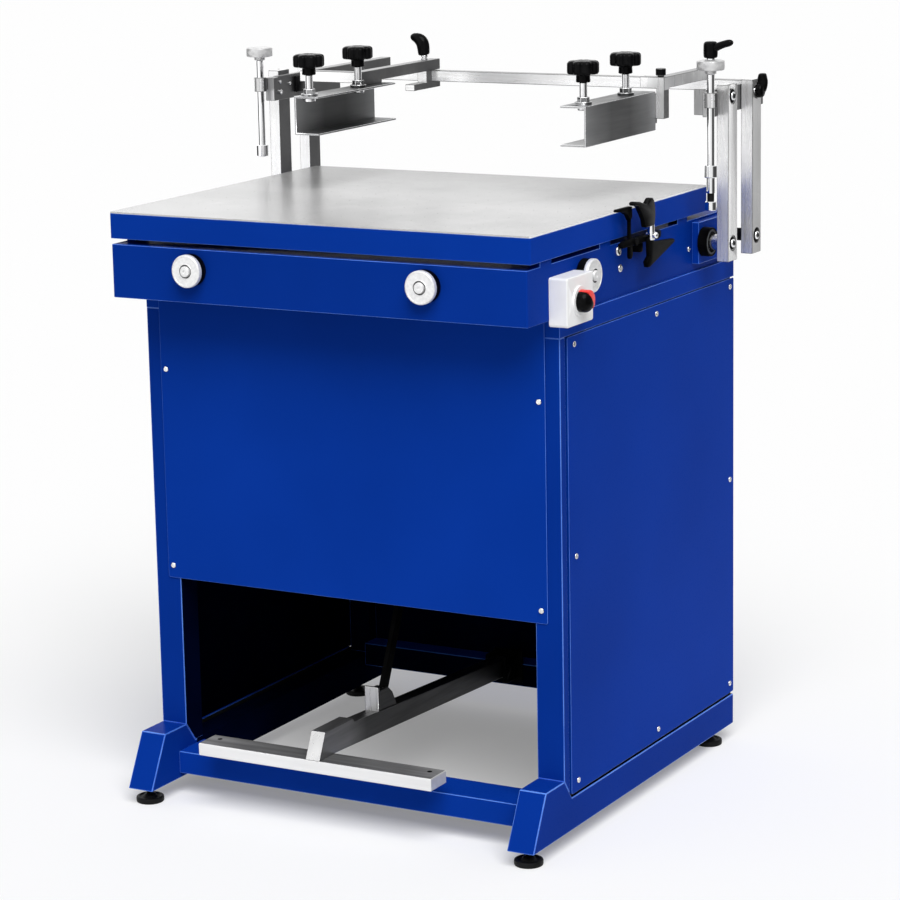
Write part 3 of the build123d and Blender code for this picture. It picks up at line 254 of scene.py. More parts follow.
# painted reflection: the tone runs lighter at both ends and dark in the middle along Y
channelSteel = makeFinish("screen_channel_steel", {
    "colours": ((0.20, 0.205, 0.21), (0.34, 0.34, 0.345)), "mottle": 9.0, "mottleStretch": (1, 0.3, 1),
    "along": ("Y", [(300, 1.3), (335, 0.8), (390, 0.28), (455, 0.22), (515, 0.6), (550, 1.1)]),
    "metallic": 1.0, "roughness": (0.30, 0.42), "grain": 300.0, "grainStretch": (1, 0.05, 1), "bump": 0.12,
    "bumpDepth": 0.00012,
})
# the tone is painted lighter towards the arm's front end
pedalSteel = makeFinish("dark_pedal_steel", {
    "colours": ((0.05, 0.05, 0.052), (0.11, 0.11, 0.112)), "mottle": 40.0, "mottleStretch": (1, 0.06, 1),
    "along": ("Y", [(0, 3.4), (95, 2.6), (150, 0.8), (640, 0.35)]),
    "metallic": 0.85, "roughness": (0.3, 0.45), "grain": 300.0, "grainStretch": (1, 0.05, 1), "bump": 0.15,
})
# the tread top is painted dark as shade under the front panel, and lighter towards both ends
treadPaintedShade = makeFinish("pedal_tread_brushed_painted_shade", {
    "colours": ((0.10, 0.10, 0.102), (0.24, 0.24, 0.24)), "mottle": 60.0, "mottleStretch": (0.06, 1, 1),
    "along": ("X", [(-238, 1.5), (-160, 0.9), (0, 0.7), (120, 1.0), (178, 1.7)]),
    "metallic": 0.35, "roughness": (0.42, 0.58), "grain": 500.0, "grainStretch": (0.08, 1, 1), "bump": 0.25,
})
treadEdge = makeFinish("pedal_bar_bright_face", {
    "colours": ((0.80, 0.80, 0.80), (0.90, 0.90, 0.90)), "mottle": 60.0, "mottleStretch": (0.06, 1, 1),
    "metallic": 0.45, "roughness": (0.34, 0.46), "grain": 500.0, "bump": 0.12,
})
# painted reflection: the tone runs darker towards the rear of the sheet
bedSheet = makeFinish("bed_sheet_satin", {
    "colours": ((0.36, 0.36, 0.362), (0.68, 0.675, 0.675)), "mottle": 620.0, "clouds": (7.0, 0.86, 1.08),
    "along": ("Y", [(0, 1.0), (330, 0.93), (480, 0.72), (606, 0.56)]),
    "metallic": 0.15, "roughness": (0.20, 0.34), "grain": 1400.0, "bump": 0.16, "bumpDepth": 0.00018,
})
# painted highlight: near-white on the rim faces of the bed sheet
bedEdgeHighlight = makeFinish("bed_sheet_painted_edge_highlight", {
    "colours": ((0.90, 0.90, 0.90), (0.97, 0.97, 0.97)), "mottle": 90.0, "metallic": 0.0,
    "roughness": (0.25, 0.4), "grain": 900.0, "bump": 0.08,
})
platedSteel = makeFinish("bright_plated_steel", {
    "colours": ((0.60, 0.60, 0.61), (0.80, 0.80, 0.80)), "mottle": 70.0, "metallic": 1.0,
    "roughness": (0.16, 0.28), "grain": 600.0, "bump": 0.08,
})
knurledSatin = makeFinish("knurled_satin_steel", {
    "colours": ((0.58, 0.58, 0.585), (0.72, 0.72, 0.72)), "mottle": 90.0, "metallic": 0.4,
    "roughness": (0.28, 0.4), "grain": 600.0, "bump": 0.08,
})
chromed = makeFinish("polished_chrome", {
    "colours": ((0.80, 0.81, 0.82), (0.90, 0.90, 0.91)), "mottle": 40.0, "metallic": 1.0,
    "roughness": (0.05, 0.12), "grain": 240.0, "bump": 0.03,
})
threadedRod = ridges(makeFinish("threaded_rod", {
    "colours": ((0.74, 0.74, 0.75), (0.88, 0.88, 0.89)), "mottle": 60.0, "metallic": 1.0,
    "roughness": (0.12, 0.2), "grain": 500.0, "bump": 0.05,
}), "Z", 1.75, 0.35, 0.0004)
dialMetal = makeFinish("dial_satin_metal", {
    "colours": ((0.74, 0.74, 0.745), (0.88, 0.88, 0.88)), "mottle": 220.0, "metallic": 0.3,
    "roughness": (0.30, 0.42), "grain": 900.0, "bump": 0.10, "bumpDepth": 0.0001,
})
# painted shade: the groove round the dial's button is dark
dialGrooveShade = makeFinish("dial_groove_painted_shade", {
    "colours": ((0.03, 0.03, 0.03), (0.10, 0.10, 0.10)), "mottle": 300.0, "metallic": 0.6,
    "roughness": (0.4, 0.6), "grain": 900.0, "bump": 0.1,
})
blackPlastic = makeFinish("gloss_black_plastic", {
    "colours": ((0.002, 0.002, 0.0022), (0.006, 0.006, 0.0065)), "mottle": 45.0,
    "roughness": (0.16, 0.24), "grain": 700.0, "bump": 0.05, "specular": 0.05,
})
redPlastic = makeFinish("red_plastic", {
    "colours": ((0.78, 0.032, 0.026), (0.92, 0.050, 0.040)), "mottle": 60.0,
    "roughness": (0.28, 0.38), "grain": 900.0, "bump": 0.06, "specular": 0.3,
})
whitePlastic = makeFinish("white_moulded_plastic", {
    "colours": ((0.90, 0.90, 0.905), (0.96, 0.96, 0.965)), "mottle": 25.0,
    "roughness": (0.34, 0.46), "grain": 1500.0, "bump": 0.12, "bumpDepth": 0.0001,
})
blackSteel = makeFinish("black_oxide_steel", {
    "colours": ((0.0015, 0.0015, 0.0016), (0.005, 0.005, 0.0055)), "mottle": 40.0,
    "roughness": (0.30, 0.44), "grain": 800.0, "bump": 0.12, "specular": 0.012,
})
pumpCasting = makeFinish("grey_painted_casting", {
    "colours": ((0.07, 0.075, 0.08), (0.12, 0.125, 0.13)), "mottle": 20.0,
    "roughness": (0.45, 0.62), "grain": 260.0, "bump": 0.3, "bumpDepth": 0.0006, "specular": 0.3,
})
rubber = makeFinish("black_rubber", {
    "colours": ((0.003, 0.003, 0.003), (0.008, 0.008, 0.0085)), "mottle": 60.0,
    "roughness": (0.42, 0.6), "grain": 500.0, "bump": 0.15, "specular": 0.12,
})
hoseRubber = ridges(makeFinish("ribbed_hose", {
    "colours": ((0.010, 0.010, 0.011), (0.020, 0.020, 0.021)), "mottle": 30.0,
    "roughness": (0.45, 0.6), "grain": 400.0, "bump": 0.1, "specular": 0.3,
}), "Z", 6.0, 0.7, 0.002)
print("finishes made:", len(bpy.data.materials))

# Shapes: each maker returns its own bmesh in millimetres, and gather() joins them in metres
sharpAngle = 35  # degrees: softer than this an edge is shaded smooth and gets no edge line
squareOn = 0.9  # a face whose normal has this much of an axis looks along it
weldDistance = 2e-6  # metres, joins a CAD node's loose triangles
poleWeld = 0.0005  # millimetres, closes the poles of a turned part
flatAngle = 0.5  # degrees between triangles of one flat CAD face


def turned(profile, steps, closed=False):  # a profile of (radius, height) spun about Z
    part = bmesh.new()
    points = [part.verts.new((radius, 0, height)) for radius, height in profile]
    pairs = list(zip(points, points[1:])) + ([(points[-1], points[0])] if closed else [])
    lines = [part.edges.new(pair) for pair in pairs]
    bmesh.ops.spin(part, geom=points + lines, cent=(0, 0, 0), axis=(0, 0, 1), angle=2 * math.pi,
                   steps=steps, use_merge=True)
    bmesh.ops.remove_doubles(part, verts=part.verts, dist=poleWeld)
    bmesh.ops.recalc_face_normals(part, faces=part.faces)
    return part


def slab(outline, thickness):
    part = bmesh.new()
    face = part.faces.new([part.verts.new((x, y, 0)) for x, y in outline])
    grown = bmesh.ops.extrude_face_region(part, geom=[face])
    moved = [item for item in grown["geom"] if isinstance(item, bmesh.types.BMVert)]
    bmesh.ops.translate(part, vec=(0, 0, thickness), verts=moved)
    bmesh.ops.recalc_face_normals(part, faces=part.faces)
    return part


def brick(low, high):
    part = bmesh.new()
    bmesh.ops.create_cube(part, size=1)
    size = [b - a for a, b in zip(low, high)]
    middle = [(a + b) / 2 for a, b in zip(low, high)]
    bmesh.ops.scale(part, vec=size, verts=part.verts)
    bmesh.ops.translate(part, vec=middle, verts=part.verts)
    return part


def hexagon(acrossFlats, thickness, corner=0.8):
    part = bmesh.new()
    radius = acrossFlats / math.sqrt(3)
    bmesh.ops.create_cone(part, cap_ends=True, segments=6, radius1=radius, radius2=radius, depth=thickness)
    bmesh.ops.translate(part, vec=(0, 0, thickness / 2), verts=part.verts)
    return soften(part, corner, 1)


def soften(part, width, segments=2, angle=30):
    sharp = [edge for edge in part.edges
             if len(edge.link_faces) == 2 and edge.is_convex and edge.calc_face_angle() > math.radians(angle)]
    bmesh.ops.bevel(part, geom=sharp, offset=width, offset_type="OFFSET", segments=segments, profile=0.5,
                    affect="EDGES", clamp_overlap=True, material=-1)
    return part


def swept(stations, sides):  # rings of (middle, half width, half height) bridged into one handle
    part = bmesh.new()
    loops = []
    places = [Vector(station[0]) for station in stations]
    for index, (place, wide, tall) in enumerate(stations):
        ahead = places[min(index + 1, len(places) - 1)] - places[max(index - 1, 0)]
        turn = ahead.to_track_quat("Z", "X").to_matrix().to_4x4()
        ring = bmesh.ops.create_circle(part, cap_ends=False, segments=sides, radius=1)["verts"]
        bmesh.ops.scale(part, vec=(wide, tall, 1), verts=ring)
        bmesh.ops.transform(part, matrix=Matrix.Translation(place) @ turn, verts=ring)
        loops.append(ring)
    for near, far in zip(loops, loops[1:]):
        edges = [edge for edge in part.edges if set(edge.verts) <= set(near) or set(edge.verts) <= set(far)]
        edges = [edge for edge in edges if len(edge.link_faces) < 2]
        bmesh.ops.bridge_loops(part, edges=edges)
    bmesh.ops.holes_fill(part, edges=[edge for edge in part.edges if edge.is_boundary], sides=0)
    bmesh.ops.recalc_face_normals(part, faces=part.faces)
    return part


def fluted(part, count, depth, inner):  # hollows round the rim, narrower than the lobes between them
    for vert in part.verts:
        radius = math.hypot(vert.co.x, vert.co.y)
        if radius > inner:
            angle = math.atan2(vert.co.y, vert.co.x)
            wave = 0.5 - 0.5 * math.cos(count * angle)
            scale = 1 - depth / radius * wave ** 2
            vert.co.x *= scale
            vert.co.y *= scale
    return part


axisTurns = {
    "z": Matrix.Identity(4),
    "x": Matrix.Rotation(math.pi / 2, 4, "Y"),
    "-x": Matrix.Rotation(-math.pi / 2, 4, "Y"),
    "-y": Matrix.Rotation(math.pi / 2, 4, "X"),
}
# A drawing in (y, z) stands up, with its thickness along X
sideways = Matrix(((0, 0, 1, 0), (1, 0, 0, 0), (0, 1, 0, 0), (0, 0, 0, 1)))


def placed(part, origin=(0, 0, 0), axis="z", turn=None):
    matrix = Matrix.Translation(origin) @ (turn if turn is not None else axisTurns[axis])
    bmesh.ops.transform(part, matrix=matrix, verts=part.verts)
    return part


def gather(parts):
    whole = bmesh.new()
    for part, finish in parts:
        for face in part.faces:
            face.material_index = finish
        held = bpy.data.meshes.new("held")
        part.to_mesh(held)
        whole.from_mesh(held)
        part.free()
        bpy.data.meshes.remove(held)
    bmesh.ops.scale(whole, vec=(mm, mm, mm), verts=whole.verts)
    return whole


def finishPiece(name, whole, finishes, body, replaced, rounding=0, smoothAngle=sharpAngle):
    mesh = bpy.data.meshes.new(name)
    whole.to_mesh(mesh)
    whole.free()
    for finish in finishes:
        mesh.materials.append(finish)
    mesh.shade_smooth()
    mesh.set_sharp_from_angle(angle=math.radians(smoothAngle))
    piece = bpy.data.objects.new(name, mesh)
    scene.collection.objects.link(piece)
    if rounding:
        rounds = piece.modifiers.new("rounding", "SUBSURF")
        rounds.levels = rounds.render_levels = rounding
    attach(piece, body)
    if replaced:
        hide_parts(*replaced)
    return piece


def carryOver(node, finishes, edgeWidth, pick=None, shortest=0.0, triangles=False, edgeFinish=None, segments=2,
              cuts=(), smoothAngle=sharpAngle):  # a copy of a CAD node with its own finishes and softened edges
    source = nodes[node]
    whole = bmesh.new()
    whole.from_mesh(source.data)
    bmesh.ops.remove_doubles(whole, verts=whole.verts, dist=weldDistance)
    if not triangles:
        bmesh.ops.dissolve_limit(whole, angle_limit=math.radians(flatAngle), verts=whole.verts, edges=whole.edges)
    for place, across in cuts:  # a finish that stops part way along a face
        bmesh.ops.bisect_plane(whole, geom=whole.verts[:] + whole.edges[:] + whole.faces[:],
                               plane_co=Vector(place) * mm, plane_no=across)
    for face in whole.faces:
        face.material_index = pick(face) if pick else 0
    weights = whole.edges.layers.float.new("bevel_weight_edge")
    for edge in whole.edges:
        if len(edge.link_faces) == 2 and edge.is_convex and edge.calc_length() >= shortest * mm:
            bothDark = edgeFinish and all(face.material_index == 1 for face in edge.link_faces)
            if edge.calc_face_angle() > math.radians(sharpAngle) and not bothDark:
                edge[weights] = 1.0
    piece = finishPiece(node + "_piece", whole, finishes + ([edgeFinish] if edgeFinish else []),
                        source["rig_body"], [node], smoothAngle=smoothAngle)
    if edgeWidth:
        edges = piece.modifiers.new("edges", "BEVEL")
        edges.limit_method = "WEIGHT"
        edges.width = edgeWidth * mm
        edges.segments = segments
        edges.use_clamp_overlap = False
        edges.harden_normals = True
        if edgeFinish:
            edges.material = len(finishes)


# Welded base, apron and panels: blue outside, painted near-black as shade on the faces that look into the cabinet
cabinet = {
    "legRear": 116, "middle": 380, "rearPanel": 692, "behindPanel": 692.5, "sideWall": 359, "beamTop": 78,
    "inward": 0.3,
}


# the next two pick the faces that are painted near-black as shade
def paintedShadeInside(face):
    middle = face.calc_center_median() / mm
    if middle.y > cabinet["behindPanel"]:  # outside again
        return 0
    inward, fromMiddle = cabinet["inward"], middle.y - cabinet["middle"]
    towardMiddle = face.normal.x * middle.x < -inward * abs(middle.x)
    towardPump = face.normal.y * fromMiddle < -inward * abs(fromMiddle)
    return 1 if towardMiddle or towardPump else 0


def paintedShadeBehindLegs(face):
    middle = face.calc_center_median() / mm
    if middle.y < cabinet["legRear"] or abs(middle.x) > cabinet["sideWall"] or middle.z > cabinet["beamTop"]:
        return 0
    towardFront = face.normal.y < -squareOn
    return 1 if face.normal.z > squareOn or face.normal.x * middle.x < 0 or towardFront else 0


def boltsOutside(limit):
    return lambda face: 1 if abs(face.calc_center_median().x) > limit * mm else 0


alongY = (0, 1, 0)
paintedNodes = {
    "base_beams": {"paint": darkerBlue, "edgeWidth": 1.6, "pick": paintedShadeBehindLegs,
                   "cuts": [((0, cabinet["legRear"], 0), alongY)]},
    "legs": {"paint": darkerBlue, "edgeWidth": 1.2, "pick": paintedShadeInside,
             "cuts": [((0, cabinet["rearPanel"], 0), alongY)]},
    "lower_rails": {"paint": bluePaint, "edgeWidth": 1.2, "pick": paintedShadeBehindLegs},
    "upper_frame": {"paint": bluePaint, "edgeWidth": 0.7, "pick": paintedShadeInside},
    "front_panel": {"paint": bluePaint, "edgeWidth": 0.5, "pick": paintedShadeInside},
    "side_panels": {"paint": bluePaint, "edgeWidth": 0.5, "pick": paintedShadeInside},
    "rear_panel": {"paint": bluePaint, "edgeWidth": 0.5, "pick": paintedShadeInside},
    "apron": {"paint": darkerBlue, "edgeWidth": 0.7, "pick": paintedShadeInside},
    "suction_box": {"paint": bluePaint, "edgeWidth": 0.6, "pick": None},
}
for node, settings in paintedNodes.items():
    carryOver(node, [settings["paint"], cabinetPaintedShade], settings["edgeWidth"], settings["pick"],
              edgeFinish=bluePaintedHighlight, cuts=settings.get("cuts", ()))
carryOver("arm_brackets", [bluePaint, blackSteel], 1.0, boltsOutside(368.4), edgeFinish=bluePaintedHighlight)
carryOver("pedal_bracket", [blackSteel], 0.8)
carryOver("pump_shelf", [platedSteel], 0.5)
carryOver("cross_slide", [platedSteel], 0.4)

# The bed keeps its fine triangles, because of its many small holes
bed = {"side": 349, "front": -20, "rear": 600, "flat": 0.98, "smoothAngle": 4}


def sheetRim(face):
    middle = face.calc_center_median() / mm
    atRim = abs(middle.x) > bed["side"] or middle.y < bed["front"] or middle.y > bed["rear"]
    return 1 if abs(face.normal.z) < bed["flat"] and atRim else 0


carryOver("top_sheet", [bedSheet, bedEdgeHighlight], 0, sheetRim, triangles=True, smoothAngle=bed["smoothAngle"])
carryOver("panel_screws", [platedSteel], 0.15)

# Near-black rubber strip that closes the gap under each side panel and stands in for the shade of that gap
gapShadeStrip = {"half": 355.6, "thick": 3.2, "front": 113, "rear": 711, "bottom": 76.05, "top": 82.4, "corner": 0.7}
strips = []
for sign in (-1, 1):
    s = gapShadeStrip
    inner, outer = sorted((sign * (s["half"] - s["thick"]), sign * s["half"]))
    strip = brick((inner, s["front"], s["bottom"]), (outer, s["rear"], s["top"]))
    strips.append((soften(strip, s["corner"]), 0))
finishPiece("panel_gap_shade_strips", gather(strips), [rubber], "base", [])
print("painted parts done")

# Arms, heads, bars and carriages, with the light and shade of each side painted into its tone as the photograph has
# it
carrierBars = {"leftOf": -150, "rightOf": 150, "hangerTop": 1092.8, "railCap": 1113.3, "edgeWidth": 0.9}
headBolts = {"beyond": 400, "z": 1085, "y": (574, 668), "reach": 14}


# inner sides on the left get the painted shade copy
def paintedShadeInnerSide(face):
    middle = face.calc_center_median() / mm
    return 1 if face.normal.x > squareOn and middle.x < carrierBars["leftOf"] else 0


def rightSide(face):
    return 1 if face.normal.x > squareOn else 0


def aluminium(special=None):  # finishes in order: plain side, shaded side, front, right side, top, special
    def pick(face):
        middle = face.calc_center_median() / mm
        if special and special(middle):
            return 5
        if face.normal.z > squareOn:
            return 4
        if face.normal.x > squareOn and middle.x > carrierBars["rightOf"]:
            return 3 if middle.z > carrierBars["hangerTop"] else 1
        return 2 if abs(face.normal.y) > squareOn else paintedShadeInnerSide(face)
    return pick


def headBolt(middle):
    b = headBolts
    nearBolt = min(abs(middle.y - y) for y in b["y"]) < b["reach"]
    return abs(middle.x) > b["beyond"] and abs(middle.z - b["z"]) < b["reach"] and nearBolt


def railCap(middle):
    return middle.z > carrierBars["railCap"]


def milledBar(node, finishes, pick, edgeWidth=carrierBars["edgeWidth"], cuts=()):
    carryOver(node, finishes, edgeWidth, pick, edgeFinish=milledLine, cuts=cuts)


milledBar("front_arms", [milledZ, paintedShadeMill], paintedShadeInnerSide)
milledBar("rear_arm_left", [milledZ, paintedShadeMill], paintedShadeInnerSide)
milledBar("rear_arm_right", [milledZ, paintedDimMill], rightSide)
milledBar("heads", [milledY, paintedShadeMill, paintedDimMill, milledY, paintedDimTop, blackSteel], aluminium(headBolt), 0.8)

headStop = {
    "inner": -388.7, "y": (589, 613), "z": (1065, 1091.5), "deep": 5.5, "corner": 1.4, "seat": 0.05,
    "bolt": [(0, 0.05), (4.2, 0.05), (4.2, 2.6), (3.6, 3.2), (2.2, 3.2), (2.0, 1.6), (0, 1.6)],
    "smallBolt": [(0, 0.05), (3.0, 0.05), (3.0, 1.6), (2.4, 2.2), (0, 2.2)],
    "bolts": [("bolt", 544, 1069.5), ("smallBolt", 544, 1086), ("smallBolt", 574, 1081)],
}
block = soften(brick((headStop["inner"] + headStop["seat"], headStop["y"][0], headStop["z"][0]),
                     (headStop["inner"] + headStop["deep"], headStop["y"][1], headStop["z"][1])), headStop["corner"])
stopParts = [(block, 0)]
for kind, y, z in headStop["bolts"]:
    stopParts.append((placed(turned(headStop[kind], 24), (headStop["inner"], y, z), "x"), 1))
finishPiece("head_stop_left", gather(stopParts), [blackPlastic, platedSteel], nodes["heads"]["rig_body"], [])
milledBar("cross_bar", [milledX, paintedShadeMill, milledX, paintedDimMill, paintedDimTop], aluminium())
milledBar("left_carriage", [milledY, paintedShadeMill, milledX, paintedDimMill, paintedDimTop], aluminium())
milledBar("right_carriage", [milledY, paintedShadeMill, milledZ, paintedDimMill, paintedDimTop, blackPlastic], aluminium(railCap),
          cuts=[((0, 0, carrierBars["hangerTop"]), (0, 0, 1))])
carryOver("channel_left", [channelSteel], 0.6, edgeFinish=milledEdge)
carryOver("channel_right", [channelSteel], 0.6, edgeFinish=milledEdge)
carryOver("torque_shaft", [platedSteel, blackSteel], 0.5, boltsOutside(412.5))
carryOver("push_link", [blackSteel], 0.8)

# Pedal: bright nose and bar face, and a tread top painted dark as shade, lighter towards its ends
pedal = {"noseEnd": 260, "noseFacing": 0.7, "holes": (-218, 158), "holeY": 37, "holeReach": 7}


def noseFace(face):
    atNose = face.calc_center_median().y < pedal["noseEnd"] * mm
    return 0 if face.normal.y < -pedal["noseFacing"] and atNose else 1


def treadTop(face):
    middle = face.calc_center_median() / mm
    acrossHole = min(abs(middle.x - x) for x in pedal["holes"])
    inHole = acrossHole < pedal["holeReach"] and abs(middle.y - pedal["holeY"]) < pedal["holeReach"]
    # the hole walls are painted black as shade
    if inHole and face.normal.z < squareOn:
        return 2
    return 1 if face.normal.z > squareOn else 0


carryOver("pedal_arm", [paintedDimMill, pedalSteel], 1.0, noseFace)
carryOver("pedal_bar", [treadEdge, treadPaintedShade, blackSteel], 1.6, treadTop, edgeFinish=treadEdge, segments=1,
          shortest=10)

# Pivot screws in the arms' round recesses, and the set screws in the pedal bar
pivotScrew = {
    "washer": 9.4, "head": 6.8, "flats": 6.9, "stand": 418.0,
    "places": {"lift": [(574, 855)], "base": [(668, 855)], "carrier": [(574, 1085), (668, 1085)]},
    "leverTakes": ("carrier", 1, 668),  # the arm lock lever has this screw's place
}
setScrew = {
    "seat": 100.5, "flats": 3.8, "socketDepth": 7.5,
    "profile": [(2.1, 0), (4.1, 0), (4.1, 9.4), (3.8, 9.8), (2.3, 9.8), (2.1, 9.4)],
}


def pivotScrewParts(x, y, z, axis):
    rim, head = pivotScrew["washer"], pivotScrew["head"]
    washer = turned([(0, -0.2), (rim, -0.2), (rim, 0.5), (rim - 0.5, 0.8), (0, 0.8)], 40)
    dome = turned([(3.6, 0.6), (head, 0.6), (head, 1.6), (head - 1.0, 3.1), (head - 2.2, 3.7), (3.6, 3.9),
                   (3.4, 1.4), (3.4, 0.8)], 40, closed=True)
    socket = hexagon(pivotScrew["flats"], 0.5, 0.05)
    return [(placed(part, (x, y, z), axis), finish) for part, finish in ((washer, 0), (dome, 1), (socket, 0))]


for bodyName, places in pivotScrew["places"].items():
    parts = []
    for sign, axis in ((-1, "-x"), (1, "x")):
        for y, z in places:
            if (bodyName, sign, y) != pivotScrew["leverTakes"]:
                parts += pivotScrewParts(sign * pivotScrew["stand"], y, z, axis)
    finishPiece("pivot_screws_" + bodyName, gather(parts), [blackSteel, chromed], bodyName, [])
setScrews = []
for x in pedal["holes"]:
    place = (x, pedal["holeY"], setScrew["seat"])
    setScrews.append((placed(turned(setScrew["profile"], 24, closed=True), place), 0))
    setScrews.append((placed(hexagon(setScrew["flats"], setScrew["socketDepth"], 0.05), place), 0))
finishPiece("pedal_set_screws", gather(setScrews), [blackSteel], nodes["pedal_bar"]["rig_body"], [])
print("lift and pedal done")

# Register dials and their knurled rings
registerDial = {
    "radius": 25, "disc": 8, "hub": 8, "stand": 12.3, "ringRadius": 24.5, "ringDepth": 12, "ringBore": 4.4,
    "knurls": 84, "knurlDepth": 0.7,
    "spindle": [(0, -55), (3.4, -55), (4, -54), (4, 0.2), (0, 0.2)],
    "places": {
        "register_knob_left": ((-210, -4, 860), "-y"),
        "register_knob_right": ((192, -4, 860), "-y"),
        "register_knob_side": ((356, 173, 860), "x"),
    },
}


def dialPart():
    r, d, hub = registerDial["radius"], registerDial["disc"], registerDial["hub"]
    spindle = turned(registerDial["spindle"], 32)
    disc = turned([
        (3.9, 0), (r - 0.8, 0), (r, 0.8), (r, d - 1.6), (r - 0.5, d - 0.7), (r - 1.5, d - 0.1), (r - 2.2, d),
        (r - 3.0, d), (r - 3.4, d - 0.5), (hub + 3.6, d - 0.5), (hub + 3.0, d), (hub + 2.4, d),
    ], 96)
    groove = turned([(hub + 2.4, d), (hub + 2.2, d - 0.9), (hub + 0.4, d - 0.9)], 96)
    button = turned([
        (hub + 0.4, d - 0.9), (hub, d - 0.2), (hub, d + 2.2), (hub - 0.5, d + 2.8), (hub - 1.4, d + 3),
        (2.6, d + 3), (2.4, d + 2.6), (2.3, d + 1.6), (0, d + 1.6),
    ], 96)
    return [(spindle, 0), (disc, 0), (groove, 1), (button, 0)]


def ringPart():
    r, depth, bore = registerDial["ringRadius"], registerDial["ringDepth"], registerDial["ringBore"]
    part = turned([
        (bore, 0), (r - 0.6, 0), (r, 0.6), (r, depth / 2), (r, depth - 0.6), (r - 0.6, depth), (bore, depth),
    ], registerDial["knurls"] * 2, closed=True)
    return fluted(part, registerDial["knurls"], registerDial["knurlDepth"], r - 0.3)


for node, (origin, axis) in registerDial["places"].items():
    stand = axisTurns[axis] @ Vector((0, 0, registerDial["stand"]))
    parts = [(placed(part, Vector(origin) + stand, axis), finish) for part, finish in dialPart()]
    finishPiece(node + "_dial", gather(parts), [dialMetal, dialGrooveShade], nodes[node]["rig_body"], [node])
rings = [(placed(ringPart(), origin, axis), 0) for origin, axis in registerDial["places"].values()]
finishPiece("dial_rings", gather(rings), [blackPlastic], "base", ["knob_rings"])
print("register dials done")

# Switch box with its rotary switch, whose knob is half black handle and half red backing
carryOver("switch_box", [whitePlastic], 0.8)
rotarySwitch = {
    "centre": (389.3, 100, 835), "across": (0, 0.81, 0.585), "offset": 2.1, "corner": 1.0,
    "black": [(0, 0), (16.6, 0), (16.6, 7), (16, 10), (14.4, 13), (11.6, 15.6), (7.6, 17.2), (4, 17.8), (0, 17.9)],
    "red": [(0, 0.2), (16.4, 0.2), (16.4, 13.6), (15.6, 14.8), (14.2, 15.2), (0, 15.2)],
}


def halfKnob(profile, keepRed):
    centre, across = Vector(rotarySwitch["centre"]), Vector(rotarySwitch["across"])
    part = placed(turned(profile, 64), centre, "x")
    cut = bmesh.ops.bisect_plane(part, geom=part.verts[:] + part.edges[:] + part.faces[:],
                                 plane_co=centre + across * rotarySwitch["offset"], plane_no=across,
                                 clear_outer=not keepRed, clear_inner=keepRed)
    edges = [item for item in cut["geom_cut"] if isinstance(item, bmesh.types.BMEdge)]
    bmesh.ops.holes_fill(part, edges=edges, sides=0)
    bmesh.ops.recalc_face_normals(part, faces=part.faces)
    return part


blackHalf = soften(halfKnob(rotarySwitch["black"], False), rotarySwitch["corner"], 2, 40)
redHalf = halfKnob(rotarySwitch["red"], True)
finishPiece("switch_knob_black", gather([(blackHalf, 0)]), [blackPlastic], nodes["switch_knob"]["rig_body"],
            ["switch_knob"])
finishPiece("switch_knob_red", gather([(redHalf, 0)]), [redPlastic], nodes["switch_cap"]["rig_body"], ["switch_cap"])

# Toggle clamp at the table's right edge, its flat parts drawn in (y, z) and set between two values of x
edgeClamp = {
    "foot": {"x": (356.2, 369), "corner": 1.0, "outline": [
        (340, 872), (342, 870), (350, 870), (352, 872), (352, 888), (340, 888)]},
    "rail": {"x": (368, 376), "corner": 1.2, "outline": [
        (268, 886), (400, 886), (402, 888), (402, 895), (400, 897), (280, 897), (266, 893), (266, 888)]},
    "post": {"x": (368, 373), "corner": 1.2, "outline": [
        (297, 876), (297.5, 945), (303, 945), (303, 900), (309, 896), (309, 871), (307, 867), (302, 865.5),
        (298, 867), (296.5, 871)]},
    "hook": {"x": (367.6, 375), "corner": 0.8, "outline": [
        (252.5, 943.4), (254, 942), (272, 940.6), (288, 934), (297, 924), (303, 930), (303, 944), (300, 945.8),
        (255, 946), (253, 945.2)]},
    "grip": {"x": (376.3, 386.3), "corner": 3.4, "outline": [
        (329, 910), (325, 922), (318, 930.5), (308, 942), (303, 946), (287, 948.5), (286, 952.5), (291, 954),
        (308, 952), (329, 946), (334, 946.4), (339, 949.5), (345, 953), (352, 953), (357, 948), (360, 939.5),
        (361, 927), (359.5, 917), (357, 910)]},
    "plate": {"x": (376.3, 383.8), "corner": 1.2, "outline": [
        (335, 857), (346, 865), (344, 887), (345, 892), (359, 892), (360, 885), (432, 880), (434.5, 877),
        (434, 874.5), (353, 850.5), (346, 848), (338, 848.5)]},
}
clampFixings = {
    "nutFlats": 11, "nutDepth": 4, "nuts": [(375.5, 310, 891), (375.5, 385, 891)],
    "spindle": [(0, 889), (5.4, 889), (5.8, 889.6), (5.8, 901), (5.2, 902), (5.2, 912), (0, 912)],
    "spindlePlace": (382.6, 351.5, 0),
    "pin": [(0, 375.6), (5.0, 375.6), (5.0, 390.0), (4.2, 392.2), (2.6, 393.2), (0, 393.5)],
    "pinPlace": (0, 352, 896),
}


def clampSlab(name, segments=2):
    flat = edgeClamp[name]
    low, high = flat["x"]
    part = placed(slab(flat["outline"], high - low), turn=sideways)
    bmesh.ops.translate(part, vec=(low, 0, 0), verts=part.verts)
    bmesh.ops.recalc_face_normals(part, faces=part.faces)
    return soften(part, flat["corner"], segments)


